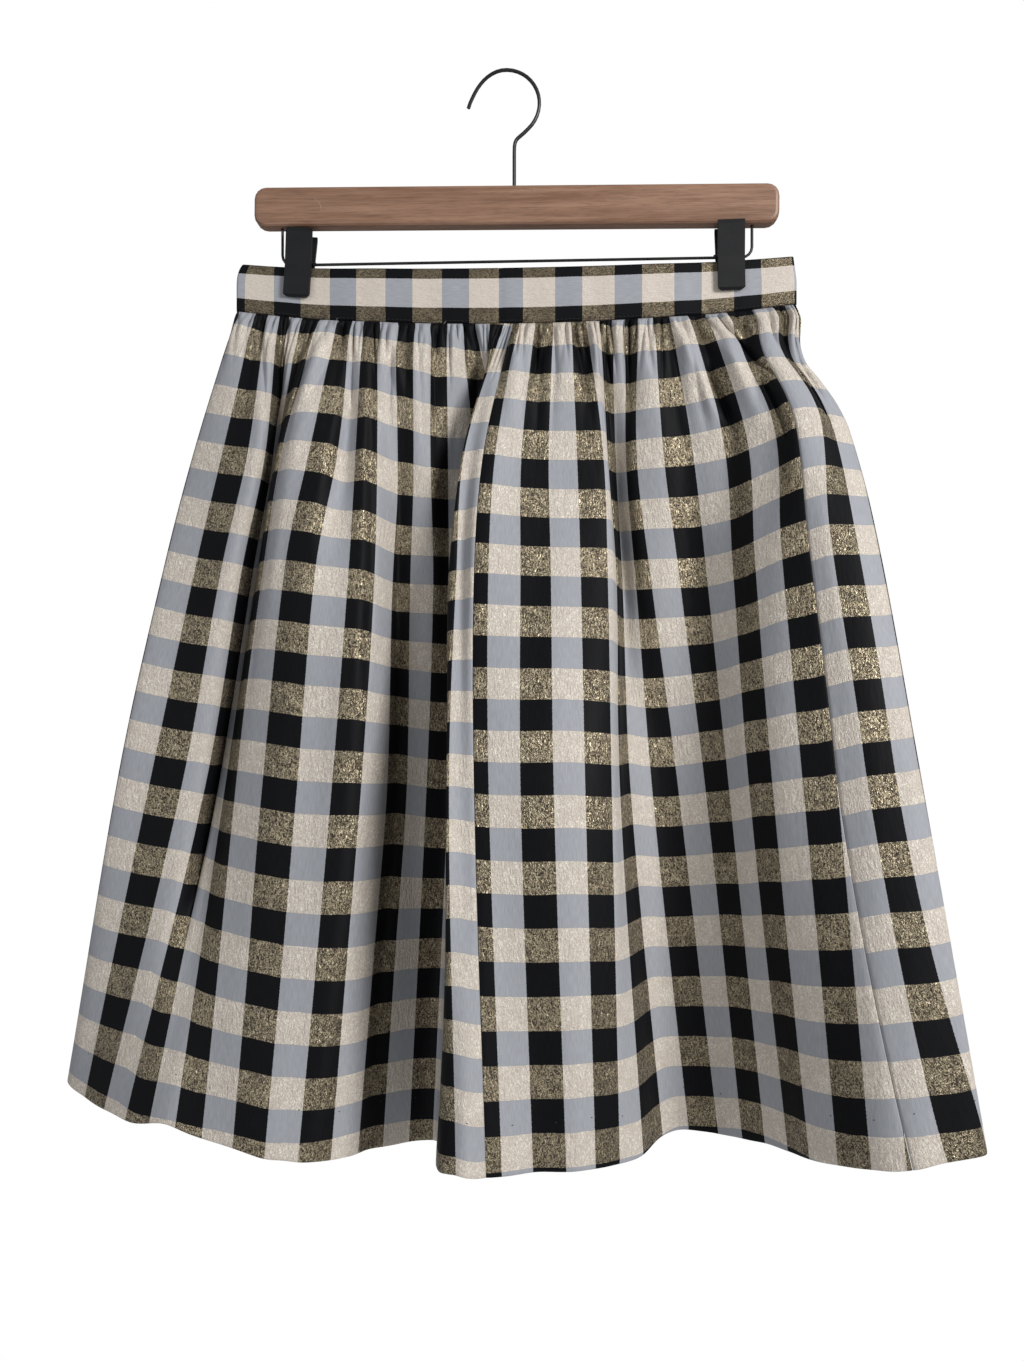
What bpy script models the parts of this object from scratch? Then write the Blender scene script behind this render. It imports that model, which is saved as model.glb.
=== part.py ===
"""Gathered check skirt, A-line in outline, hanging by its waistband from a wooden clip hanger.

Metres, +Z up. The origin is the inside top of the hook, where a rail would carry it. The front of
the skirt faces -Y, and "forward" below is always a distance towards -Y.
"""

import math

import bmesh
import bpy
from mathutils import Matrix, Vector

MM = 0.001
SEAM_GAP = 0.0003

# Cloth
CLOTH_THICKNESS = 0.0012
NORMAL_REACH = 0.0008         # how far along the cloth its slope is read
SKIRT_LENGTH = 0.556          # from the waistband seam to the hem, along the cloth
HEM_ROUND = 1.520             # cut width of the whole skirt
LEFT_SIDE_SEAM = -0.410       # along the cloth from the centre front seam
RIGHT_SIDE_SEAM = 0.297       # the same, down to where the right panel starts to widen
RIGHT_PANEL_SPREAD = 0.024    # how much wider the right front panel is at the hem
SPREAD_START = 0.330          # how far below the waistband it starts to widen

# Waistband
BAND_LEFT, BAND_RIGHT = -0.1894, 0.2010
BAND_THICKNESS = 0.0022
BAND_FORWARD = 0.00125        # middle of the front layer, in front of the hanger's plane
BAND_BULGE = 0.0022           # how far the front layer swells between the clips
BAND_TOP_MIDDLE, BAND_TOP_RISE = -0.1395, 0.0038
BAND_FOOT_MIDDLE, BAND_FOOT_RISE = -0.1785, 0.0095
BAND_STEPS = 30

# Hanger
BAR_MIDDLE = 0.0065
BAR_LENGTH, BAR_DEPTH, BAR_HEIGHT = 0.3685, 0.012, 0.028
BAR_TOP = -0.082               # at the middle
BAR_LEAN = 0.7                # degrees by which its right end hangs lower
BAR_CORNER, BAR_EDGE = 0.0085, 0.0030
HOOK_WIRE = 0.0026
HOOK_RADIUS = 0.0241          # to the middle of the wire, at the top
HOOK_ANGLES = (-48.0, 90.0, 138.0, 158.0, 170.0, 185.0)       # from the neck over the top to the tip
HOOK_RADII = (24.1, 24.1, 22.6, 22.9, 23.8, 26.0)             # in mm at these angles
HOOK_FOOT = -0.100
HOLE_CLEARANCE = 0.0003
CLIP_WIRE = 0.0020
CLIP_WIRE_LEVEL = -0.1337
CLIP_WIRE_LEFT, CLIP_WIRE_RIGHT = -0.1585, 0.1724
CLIP_WIRE_BEND = 0.007
CLIP_WIRE_FOOT = -0.101
JAW_WIDTH, JAW_CORNER = 0.0185, 0.003
JAW_INNER = 0.00265           # inner face of a jaw, from the hanger's plane
SPRING_WIRE, SPRING_RADIUS = 0.0009, 0.0019      # to the middle of the spring's wire
SPRING_DROP = 0.00015         # the coil hangs on the clip wire
SPRING_TURNS, SPRING_PITCH, SPRING_OUT = 5, 0.0021, 0.0022

CLIPS = (  # side, middle across, lean in degrees, way to the middle of the hanger
    ("left", -0.1460, 4.0, 1.0),
    ("right", 0.1573, -1.0, -1.0),
)

# How far below the seam the fold table is read, and the rows of the walls.
TABLE_HEIGHTS = (0.0, 0.098, 0.184, 0.332, 0.556)
WALL_ROWS = (0.0, 0.008, 0.020, 0.036, 0.064, 0.098, 0.140, 0.184, 0.250, 0.332, 0.405, 0.478, 0.556)

# Folds of the front and both sides, one line of cloth running down the skirt in each row, in mm.
# cloth: along the cloth from the centre seam. layer: which side of the waistband it hangs from,
# 1 the front, 0 the fold at its end, -1 the back. Then its place across at the waist, and
# across and forward at each lower table height.
FOLDS = (
    # cloth, layer, waist, high across/forward, hip a/f, thigh a/f, hem a/f
    (-424, -1, -186.5, -212, -22, -232, -22, -260, -14, -296, -19),
    (-411, -1, -189.0, -218, -16, -238, -13, -266, -4, -302, -6),
    (-400, 0, -190.8, -220.5, -7, -240.5, -2, -268.5, 8, -305, 8),
    (-389, 1, -189.0, -219, 2, -239, 8, -267, 18, -304, 21),
    (-369, 1, -177, -197, 10, -216, 13, -244, 22, -284, 38),
    (-338, 1, -164, -170, 18, -187, 22, -211, 26, -252, 64),
    (-297, 1, -149, -164, -2, -179, -3, -199, 8, -211, 88),
    (-266, 1, -131, -153, 20, -166, 22, -181, 32, -183, 95),
    (-236, 1, -112, -121, 26, -136, 36, -147, 48, -151, 106),
    (-215, 1, -104, -109, 16, -114, 38, -121, 56, -130, 108),
    (-195, 1, -94, -94, 27, -93, 42, -100, 62, -111, 105),
    (-174, 1, -82, -81, 17, -82, 34, -85, 54, -95, 89),
    (-154, 1, -69, -69, 20, -74, 24, -74, 38, -83, 73),
    (-123, 1, -52, -52, 9, -50, 10, -54, 18, -60, 57),
    (-100, 1, -39, -39, -4, -38, 1, -38, 13, -43, 57),
    (-76, 1, -27, -17, -14, -14, -3, -31, 33, -38, 78),
    (-62, 1, -21, -4, -9, -12.5, 7.5, -28, 48, -37, 96),
    (-51, 1, -16, -8, 0, -23, 10.5, -27, 58, -36, 106),
    (-40, 1, -10, -18, 4, -33, 14, -28, 68, -34, 122),
    (-31, 1, -5, -26, 7, -35.6, 22.7, -30, 77, -30, 136),
    (-22, 1, -1, -27, 14, -31.2, 30.5, -30, 87, -22, 141),
    (-12, 1, 2, -21.5, 21, -25, 38.3, -23, 94, -14, 142),
    (0, 1, 5.5, -13, 27, -18, 48, -14, 99, -4, 134),
    (30, 1, 21, 12, 24, 12, 47, 14, 100, 22, 121),
    (61, 1, 40, 40, 21, 42, 44, 44, 100, 51, 119),
    (92, 1, 57, 68, 19, 70, 38, 70, 88, 74, 103),
    (112, 1, 66, 72, 5, 77, 20, 76, 70, 89, 87),
    (133, 1, 75, 78, -5, 82, 3, 84, 52, 104, 61),
    (153, 1, 84, 85, 0, 91, 8, 99, 43, 122, 47),
    (174, 1, 93, 92, 8, 101, 16, 117, 42, 142, 46),
    (205, 1, 109, 120, 14, 130, 20, 141, 56, 163, 58),
    (235, 1, 127, 150, 16, 153, 35, 156, 77, 179, 82),
    (256, 1, 140, 164, 26, 165, 50, 168, 90, 187, 104),
    (276, 1, 154, 180, 35, 179, 62, 183, 100, 199, 120),
    (297, 1, 172, 191, 44, 194, 70, 201, 108, 213, 138),
    (317, 1, 186, 207.5, 42, 206, 74, 215.5, 114, 229, 148),
    (338, 1, 195, 217, 34, 222, 72, 232, 116, 247, 148),
    (358, 1, 200.2, 230.5, 24, 236.5, 64, 246.5, 110, 272, 145),
    (370, 0, 202.4, 232.5, 13, 240, 53, 249.5, 99, 276, 135),
    (382, -1, 200.5, 229.5, 2, 238, 41, 247.5, 87, 274, 122),
)

# The back hangs in plain folds of uneven width, worked out from the cloth that is left.
BACK_FOLD_WIDTHS = (1.00, 1.25, 0.80, 1.15, 0.90, 1.30, 0.85, 1.10, 1.00)
BACK_REACH = (BAND_FORWARD / MM, 38.0, 50.0, 60.0, 64.0)  # backward at the middle, each table height
BACK_FLATNESS = 2.6
BACK_FOLD_LIMIT = 30.0        # deepest that a back fold is, front to back
BACK_FOLD_START = 0.085       # how far below the waistband the back folds are fully there

# Gathers just under the seam, on top of the folds
GATHER_CLOTH = 0.041          # cloth taken by one gather
GATHER_HEIGHTS = (0.0, 0.010, 0.026, 0.060, 0.120)
GATHER_DEPTHS = (0.0, 0.0045, 0.0062, 0.0030, 0.0)
GATHER_FREE_END = 0.030       # no gathers this near the fold at either side
OVERLAP_FOLD = -0.042         # cloth turned under in the deep fold left of the centre seam
OVERLAP_REACH = 0.055         # gathers die away this near it
LEFT_FOLD, RIGHT_FOLD = -0.400, 0.370            # cloth lying at the two ends of the waistband
CREST_LEFT = -0.01025         # a gather's crest in the left panel, on a light check
CREST_SHIFT = -0.0105         # the crests of the right panel, from those of the left
CREST_BACK = 0.0135           # the crests of the back's left half, from those of the right panel

# The right side is drawn in under the end of the waistband, in mm at each of these depths
SHOULDER_DEPTHS = (0.0, 0.010, 0.020, 0.030, 0.045, 0.060, 0.080, 0.098)
SHOULDER_DRAWN_IN = (0.0, 0.2, 3.9, 7.6, 9.3, 6.2, 2.2, 0.0)
SHOULDER_FROM, SHOULDER_FULL = 0.250, 0.335      # cloth where this sets in, and where it is full

PANEL_STEPS = {"skirt_front_left": 64, "skirt_front_right": 40, "skirt_back": 84}
BEND_WEIGHT = 0.006           # columns stand closer where the cloth turns: metres for each radian

CLOTH_GREY = (0.42, 0.43, 0.45, 1.0)
WOOD_BROWN = (0.36, 0.20, 0.13, 1.0)
WIRE_BLACK = (0.02, 0.02, 0.022, 1.0)
CLIP_BLACK = (0.025, 0.025, 0.028, 1.0)


# ---------------------------------------------------------------- plain helpers

def clear_scene():
    for thing in list(bpy.data.objects):
        bpy.data.objects.remove(thing, do_unlink=True)


def material(name, colour, roughness, metallic=0.0):
    made = bpy.data.materials.new(name)
    made.use_nodes = True
    shader = made.node_tree.nodes["Principled BSDF"]
    shader.inputs["Base Color"].default_value = colour
    shader.inputs["Roughness"].default_value = roughness
    shader.inputs["Metallic"].default_value = metallic
    return made


def add_object(name, mesh, finish):
    mesh.materials.append(finish)
    made = bpy.data.objects.new(name, mesh)
    bpy.context.collection.objects.link(made)
    return made


def mesh_from(name, points, faces):
    mesh = bpy.data.meshes.new(name)
    mesh.from_pydata([tuple(p) for p in points], [], faces)
    mesh.validate()
    mesh.update()
    return mesh


def faces_out(mesh):
    work = bmesh.new()
    work.from_mesh(mesh)
    bmesh.ops.recalc_face_normals(work, faces=work.faces)
    work.to_mesh(mesh)
    work.free()
    mesh.update()


def smoothstep(low, high, value):
    t = min(max((value - low) / (high - low), 0.0), 1.0)
    return t * t * (3.0 - 2.0 * t)


def slopes(keys, values):
    """Slope at each key for a smooth curve through the values."""
    out = []
    for i in range(len(keys)):
        before, after = max(i - 1, 0), min(i + 1, len(keys) - 1)
        out.append((values[after] - values[before]) / (keys[after] - keys[before]))
    return out


def curve_at(keys, values, steep, x):
    """Smooth curve through (keys, values) with the given slopes, read at x."""
    i = 0
    while i < len(keys) - 2 and x > keys[i + 1]:
        i += 1
    span = keys[i + 1] - keys[i]
    t = (x - keys[i]) / span
    t2, t3 = t * t, t * t * t
    return ((2 * t3 - 3 * t2 + 1) * values[i] + (t3 - 2 * t2 + t) * span * steep[i]
            + (3 * t2 - 2 * t3) * values[i + 1] + (t3 - t2) * span * steep[i + 1])


def read_curve(keys, values, x):
    return curve_at(keys, values, slopes(keys, values), x)


# ---------------------------------------------------------------- the skirt's surface

BAND_MIDDLE = 0.5 * (BAND_LEFT + BAND_RIGHT)
BAND_HALF = 0.5 * (BAND_RIGHT - BAND_LEFT)


def band_share(across):
    return (across - BAND_MIDDLE) / BAND_HALF


def band_foot(across):
    return BAND_FOOT_MIDDLE + BAND_FOOT_RISE * band_share(across) ** 2


def band_top(across):
    return BAND_TOP_MIDDLE + BAND_TOP_RISE * band_share(across) ** 2


def band_forward(across):
    """Middle of the band's front layer: flat under the clips, a little proud between them."""
    left, right = CLIPS[0][1] + 0.5 * JAW_WIDTH, CLIPS[1][1] - 0.5 * JAW_WIDTH
    inside = smoothstep(left, left + 0.05, across) * (1.0 - smoothstep(right - 0.05, right, across))
    return BAND_FORWARD + BAND_BULGE * inside


def drawn_in(cloth, depth):
    if depth >= SHOULDER_DEPTHS[-1]:
        return 0.0
    return read_curve(SHOULDER_DEPTHS, SHOULDER_DRAWN_IN, depth) * smoothstep(SHOULDER_FROM, SHOULDER_FULL, cloth)


def front_knots(depth):
    """Fold lines of the front and sides at one depth: (cloth, across, forward)."""
    knots = []
    for cloth, layer, waist, *lower in FOLDS:
        start = band_forward(waist * MM) / MM if layer > 0 else layer * BAND_FORWARD / MM
        across = read_curve(TABLE_HEIGHTS, (waist, *lower[0::2]), depth)
        forward = read_curve(TABLE_HEIGHTS, (start, *lower[1::2]), depth)
        knots.append((cloth, across - drawn_in(cloth * MM, depth), forward))
    return knots


def back_knots(depth, right, left):
    """Fold lines of the back, from the right side round to the left."""
    left_cloth = left[0] + HEM_ROUND / MM
    reach = read_curve(TABLE_HEIGHTS, BACK_REACH, depth)
    grown = smoothstep(0.0, BACK_FOLD_START, depth)

    def base(share):
        across = right[1] + (left[1] - right[1]) * share
        ends = right[2] + (left[2] - right[2]) * share
        fullness = 1.0 - abs(2.0 * share - 1.0) ** BACK_FLATNESS
        return Vector((across, ends - (reach + 0.5 * (right[2] + left[2])) * fullness))

    stops = [0.0]
    for width in BACK_FOLD_WIDTHS:
        half = 0.5 * width / sum(BACK_FOLD_WIDTHS)
        stops += [stops[-1] + half, stops[-1] + 2 * half]
    knots = []
    for i in range(1, len(stops) - 1):
        before, after = base(stops[i - 1]), base(stops[i + 1])
        cloth = 0.5 * (stops[i + 1] - stops[i - 1]) * (left_cloth - right[0])
        fold = math.sqrt(max(cloth ** 2 - 0.25 * (after - before).length_squared, 0.0))
        fold = min(fold, BACK_FOLD_LIMIT) * grown * (0.5 if i % 2 else -0.5)
        way = (after - before).normalized()
        place = base(stops[i]) + Vector((way.y, -way.x)) * fold
        knots.append((right[0] + stops[i] * (left_cloth - right[0]), place.x, place.y))
    return knots


def ring_at(depth):
    """Fold lines all round at one depth below the seam, repeated past both ends of the ring."""
    front = front_knots(depth)
    back = back_knots(depth, front[-1], front[0])
    ring = front + back
    turn = HEM_ROUND / MM
    ring = [(c - turn, a, f) for c, a, f in ring[-4:]] + ring + [(c + turn, a, f) for c, a, f in ring[:4]]
    cloth = [knot[0] * MM for knot in ring]
    across = [knot[1] * MM for knot in ring]
    forward = [knot[2] * MM for knot in ring]
    return cloth, across, slopes(cloth, across), forward, slopes(cloth, forward)


def gather(cloth, depth):
    """How far a gather lifts the cloth away from the folds' line; forward in front, back behind."""
    height = max(read_curve(GATHER_HEIGHTS, GATHER_DEPTHS, min(depth, GATHER_HEIGHTS[-1])), 0.0)
    left, right = LEFT_FOLD, RIGHT_FOLD
    in_front = left < cloth < right
    nearest = min(abs(cloth - left), abs(cloth - right), abs(cloth - left - HEM_ROUND))
    height *= smoothstep(0.0, GATHER_FREE_END, nearest)
    height *= smoothstep(0.02, OVERLAP_REACH, abs(cloth - OVERLAP_FOLD))
    crest = CREST_LEFT + CREST_SHIFT * smoothstep(-0.035, 0.0, cloth)
    crest += CREST_BACK * smoothstep(0.6, 0.8, cloth)
    lift = 0.5 + 0.5 * math.cos(2 * math.pi * (cloth - crest) / GATHER_CLOTH)
    return height * lift if in_front else -height * lift


def surface_column(cloth_at, rings):
    """Points down one line of cloth; each length of cloth keeps its length as it leans out."""
    points = []
    for depth, ring in zip(WALL_ROWS, rings):
        cloth = cloth_at(depth)
        across = curve_at(ring[0], ring[1], ring[2], cloth)
        forward = curve_at(ring[0], ring[3], ring[4], cloth)
        if not points:
            height = band_foot(across) - SEAM_GAP
        else:
            step = depth - last[0]
            lean = (across - last[1]) ** 2 + (forward - last[2]) ** 2
            height = points[-1].z - math.sqrt(max(step * step - lean, (0.3 * step) ** 2))
        last = (depth, across, forward)
        points.append(Vector((across, -(forward + gather(cloth, depth)), height)))
    return points


# ---------------------------------------------------------------- closed walls

def wall_mesh(name, outside, inside):
    """Closed wall between two grids of points, outside[column][row] and inside[column][row]."""
    columns, rows = len(outside), len(outside[0])
    outer = [point for column in outside for point in column]
    inner = [point for column in inside for point in column]
    shift = len(outer)

    def at(i, j):
        return i * rows + j

    faces = []
    for i in range(columns - 1):
        for j in range(rows - 1):
            a, b, c, d = at(i, j), at(i + 1, j), at(i + 1, j + 1), at(i, j + 1)
            faces += [(a, b, c), (a, c, d)]
            faces += [(a + shift, c + shift, b + shift), (a + shift, d + shift, c + shift)]
    rim = [at(i, 0) for i in range(columns)] + [at(columns - 1, j) for j in range(1, rows)]
    rim += [at(i, rows - 1) for i in range(columns - 2, -1, -1)] + [at(0, j) for j in range(rows - 2, 0, -1)]
    for here, after in zip(rim, rim[1:] + rim[:1]):
        faces += [(here, here + shift, after + shift), (here, after + shift, after)]
    mesh = mesh_from(name, outer + inner, faces)
    faces_out(mesh)
    return mesh


def right_side_seam(depth):
    share = max(depth - SPREAD_START, 0.0) / (SKIRT_LENGTH - SPREAD_START)
    return RIGHT_SIDE_SEAM + RIGHT_PANEL_SPREAD * share ** 1.5


def column_normals(before, here, after):
    """Way out of the cloth at each point of a column, from the columns close by on both sides."""
    ways = []
    last = len(here) - 1
    for j in range(len(here)):
        down = here[min(j + 1, last)] - here[max(j - 1, 0)]
        way = down.cross(after[j] - before[j])
        if j == 0:
            way.z = 0.0
        ways.append(way.normalized())
    return ways


def column_shares(rings, low, high, steps):
    """Where the columns of a panel stand, 0 to 1 across it, closer together where it turns."""
    fine = 6 * steps
    places = [low + (high - low) * i / fine for i in range(fine + 1)]
    counted = [rings[WALL_ROWS.index(depth)] for depth in TABLE_HEIGHTS[1:]]
    weight = [0.0] * (fine + 1)
    for ring in counted:
        line = [Vector((curve_at(ring[0], ring[1], ring[2], place),
                        curve_at(ring[0], ring[3], ring[4], place))) for place in places]
        for i in range(1, fine):
            turn = (line[i + 1] - line[i]).angle(line[i] - line[i - 1], 0.0)
            weight[i] += BEND_WEIGHT * turn / len(counted)
    total = [0.0]
    for i in range(fine):
        near = weight[max(i - 2, 0):i + 3]
        total.append(total[-1] + (high - low) / fine + sum(near) / len(near))
    shares, i = [], 0
    for k in range(steps + 1):
        goal = total[-1] * k / steps
        while i < fine - 1 and total[i + 1] < goal:
            i += 1
        shares.append((i + (goal - total[i]) / (total[i + 1] - total[i])) / fine)
    return shares


def build_panel(name, rings, start, end, finish):
    """Panel of the skirt whose two long edges lie at start(depth) and end(depth) in the cloth."""
    outside, inside = [], []
    for share in column_shares(rings, start(0.0), end(0.0), PANEL_STEPS[name]):

        def cloth_at(depth, share=share):
            low, high = start(depth) + 0.5 * SEAM_GAP, end(depth) - 0.5 * SEAM_GAP
            return low + (high - low) * share

        here = surface_column(cloth_at, rings)
        before = surface_column(lambda depth: cloth_at(depth) - NORMAL_REACH, rings)
        after = surface_column(lambda depth: cloth_at(depth) + NORMAL_REACH, rings)
        ways = column_normals(before, here, after)
        outside.append([point + 0.5 * CLOTH_THICKNESS * way for point, way in zip(here, ways)])
        inside.append([point - 0.5 * CLOTH_THICKNESS * way for point, way in zip(here, ways)])
    add_object(name, wall_mesh(name, outside, inside), finish)


def build_skirt(finish):
    rings = [ring_at(depth) for depth in WALL_ROWS]
    build_panel("skirt_front_left", rings, lambda depth: LEFT_SIDE_SEAM, lambda depth: 0.0, finish)
    build_panel("skirt_front_right", rings, lambda depth: 0.0, right_side_seam, finish)
    build_panel("skirt_back", rings, right_side_seam,
                lambda depth: LEFT_SIDE_SEAM + HEM_ROUND, finish)


def band_lines(front):
    """Outer and inner line of one layer of the band: (across, forward), from side to side."""
    near = 0.5 * SEAM_GAP
    outer, inner = [], []
    for i in range(BAND_STEPS + 1):
        across = BAND_LEFT + (BAND_RIGHT - BAND_LEFT) * i / BAND_STEPS
        middle = band_forward(across) if front else BAND_FORWARD
        outer.append((across, middle + 0.5 * BAND_THICKNESS))
        inner.append((across, middle - 0.5 * BAND_THICKNESS))
    for degrees in (60.0, 33.0, 8.0):
        angle = math.radians(degrees)
        out, up = BAND_THICKNESS * math.cos(angle), near + BAND_THICKNESS * math.sin(angle)
        outer = [(BAND_LEFT - out, up)] + outer + [(BAND_RIGHT + out, up)]
        inner = [(BAND_LEFT - 0.6 * out, near)] + inner + [(BAND_RIGHT + 0.6 * out, near)]
    return outer, inner


def band_wall(line, side):
    wall = []
    for across, forward in line:
        top, foot = band_top(across), band_foot(across)
        wall.append([Vector((across, -side * forward, top)), Vector((across, -side * forward, foot))])
    return wall


def build_waistband(finish):
    for name, side in (("waistband_front", 1.0), ("waistband_back", -1.0)):
        outer, inner = band_lines(side > 0)
        add_object(name, wall_mesh(name, band_wall(outer, side), band_wall(inner, side)), finish)


# ---------------------------------------------------------------- the hanger

def tube_mesh(name, path, radius, sides, closed_ends=True):
    """Round bar along a path of points."""
    points, faces = [], []
    turned = None
    for i, centre in enumerate(path):
        along = (path[min(i + 1, len(path) - 1)] - path[max(i - 1, 0)]).normalized()
        if turned is None:
            turned = along.orthogonal().normalized()
        turned = (turned - along * turned.dot(along)).normalized()
        other = along.cross(turned)
        for k in range(sides):
            angle = 2 * math.pi * k / sides
            points.append(centre + radius * (math.cos(angle) * turned + math.sin(angle) * other))
    for i in range(len(path) - 1):
        for k in range(sides):
            a, b = i * sides + k, i * sides + (k + 1) % sides
            faces += [(a, b, b + sides), (a, b + sides, a + sides)]
    if closed_ends:
        last = (len(path) - 1) * sides
        faces.append(tuple(range(sides))[::-1])
        faces.append(tuple(last + k for k in range(sides)))
    mesh = mesh_from(name, points, faces)
    faces_out(mesh)
    return mesh


def smooth_shading(mesh):
    mesh.shade_smooth()
    mesh.set_sharp_from_angle(angle=math.radians(40))


def hook_path():
    centre = Vector((0.0, 0.0, -(HOOK_RADIUS - 0.5 * HOOK_WIRE)))
    path = []
    steps = 26
    for i in range(steps + 1):
        degrees = HOOK_ANGLES[-1] + (HOOK_ANGLES[0] - HOOK_ANGLES[-1]) * i / steps
        radius = read_curve(HOOK_ANGLES, HOOK_RADII, degrees) * MM
        angle = math.radians(degrees)
        path.append(centre + radius * Vector((math.cos(angle), 0.0, math.sin(angle))))
    start, lead = path[-1], (path[-1] - path[-2]).normalized()
    end, fall = Vector((BAR_MIDDLE, 0.0, start.z - 0.016)), Vector((0.0, 0.0, -1.0))
    pull = 0.011
    for i in range(1, 8):
        t = i / 7
        a, b, c, d = start, start + lead * pull, end - fall * pull, end
        path.append((1 - t) ** 3 * a + 3 * t * (1 - t) ** 2 * b + 3 * t * t * (1 - t) * c + t ** 3 * d)
    path.append(Vector((BAR_MIDDLE, 0.0, HOOK_FOOT)))
    return path


def clip_wire_path():
    path = [Vector((CLIP_WIRE_LEFT, 0.0, CLIP_WIRE_FOOT))]
    corners = ((CLIP_WIRE_LEFT + CLIP_WIRE_BEND, 180.0), (CLIP_WIRE_RIGHT - CLIP_WIRE_BEND, 270.0))
    for middle, first in corners:
        for i in range(5):
            angle = math.radians(first + 22.5 * i)
            path.append(Vector((middle + CLIP_WIRE_BEND * math.cos(angle), 0.0,
                                CLIP_WIRE_LEVEL + CLIP_WIRE_BEND * (1.0 + math.sin(angle)))))
    path.append(Vector((CLIP_WIRE_RIGHT, 0.0, CLIP_WIRE_FOOT)))
    return path


def build_bar(finish):
    """Rounded wooden bar with blind holes for the hook's shank and both ends of the clip wire."""
    outline = []
    half_x, half_z = 0.5 * BAR_LENGTH - BAR_CORNER, 0.5 * BAR_HEIGHT - BAR_CORNER
    for corner_x, corner_z, first in ((1, 1, 0), (-1, 1, 90), (-1, -1, 180), (1, -1, 270)):
        for i in range(5):
            angle = math.radians(first + 22.5 * i)
            outline.append((BAR_MIDDLE + corner_x * half_x + BAR_CORNER * math.cos(angle),
                            BAR_TOP - 0.5 * BAR_HEIGHT + corner_z * half_z + BAR_CORNER * math.sin(angle)))
    work = bmesh.new()
    front = [work.verts.new((x, -0.5 * BAR_DEPTH, z)) for x, z in outline]
    back = [work.verts.new((x, 0.5 * BAR_DEPTH, z)) for x, z in outline]
    work.faces.new(front)
    work.faces.new(back[::-1])
    for i in range(len(outline)):
        after = (i + 1) % len(outline)
        work.faces.new((front[i], back[i], back[after], front[after]))
    rims = [edge for edge in work.edges if abs(edge.verts[0].co.y - edge.verts[1].co.y) < 1e-6]
    bmesh.ops.bevel(work, geom=rims, offset=BAR_EDGE, segments=3, profile=0.5, affect="EDGES")
    middle = Matrix.Translation((BAR_MIDDLE, 0.0, BAR_TOP - 0.5 * BAR_HEIGHT))
    lean = middle @ Matrix.Rotation(math.radians(BAR_LEAN), 4, "Y") @ middle.inverted()
    bmesh.ops.transform(work, matrix=lean, verts=work.verts)
    bmesh.ops.recalc_face_normals(work, faces=work.faces)
    mesh = bpy.data.meshes.new("hanger_bar")
    work.to_mesh(mesh)
    work.free()
    bar = add_object("hanger_bar", mesh, finish)
    smooth_shading(mesh)
    holes = (
        ("hook_hole", BAR_MIDDLE, HOOK_WIRE, HOOK_FOOT - HOLE_CLEARANCE, BAR_TOP + 0.01, 16),
        ("left_hole", CLIP_WIRE_LEFT, CLIP_WIRE, BAR_TOP - BAR_HEIGHT - 0.01,
         CLIP_WIRE_FOOT + HOLE_CLEARANCE, 12),
        ("right_hole", CLIP_WIRE_RIGHT, CLIP_WIRE, BAR_TOP - BAR_HEIGHT - 0.01,
         CLIP_WIRE_FOOT + HOLE_CLEARANCE, 12),
    )
    for name, across, width, low, high, sides in holes:
        path = [Vector((across, 0.0, low)), Vector((across, 0.0, high))]
        cutter_mesh = tube_mesh(name, path, 0.5 * width + HOLE_CLEARANCE, sides)
        cutter = bpy.data.objects.new(name, cutter_mesh)
        bpy.context.collection.objects.link(cutter)
        cutter.hide_render = True
        cutter.display_type = "WIRE"
        cut = bar.modifiers.new(name, "BOOLEAN")
        cut.operation = "DIFFERENCE"
        cut.object = cutter


def jaw_mesh(name, across, lean, facing):
    """One jaw of a clip: a side profile (out from the hanger's plane, up) drawn across its width."""
    profile = (
        (JAW_INNER, -0.0238), (JAW_INNER + 0.0022, -0.0238), (JAW_INNER + 0.0030, -0.0225),
        (JAW_INNER + 0.0033, -0.0010), (JAW_INNER + 0.0063, 0.0205), (JAW_INNER + 0.0058, 0.0232),
        (JAW_INNER + 0.0041, 0.0232), (JAW_INNER + 0.0013, 0.0050), (JAW_INNER, 0.0020),
    )
    half = 0.5 * JAW_WIDTH
    work = bmesh.new()
    sides = []
    for x in (-half, half):
        sides.append([work.verts.new((x, facing * out, up)) for out, up in profile])
    count = len(profile)
    work.faces.new(sides[0])
    work.faces.new(sides[1][::-1])
    for i in range(count):
        after = (i + 1) % count
        work.faces.new((sides[0][i], sides[1][i], sides[1][after], sides[0][after]))
    bmesh.ops.recalc_face_normals(work, faces=work.faces)
    corners = []
    for edge in work.edges:
        a, b = edge.verts[0].co, edge.verts[1].co
        if abs(a.x - b.x) < 1e-6 and abs(a.z - b.z) < 2e-4 and min(a.z, b.z) < -0.0230:
            corners.append(edge)
    bmesh.ops.bevel(work, geom=corners, offset=JAW_CORNER, segments=3, profile=0.5, affect="EDGES")
    place = Matrix.Translation((across, 0.0, CLIP_WIRE_LEVEL))
    place = place @ Matrix.Rotation(math.radians(lean), 4, "Y")
    bmesh.ops.transform(work, matrix=place, verts=work.verts)
    bmesh.ops.recalc_face_normals(work, faces=work.faces)
    mesh = bpy.data.meshes.new(name)
    work.to_mesh(mesh)
    work.free()
    return mesh


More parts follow.
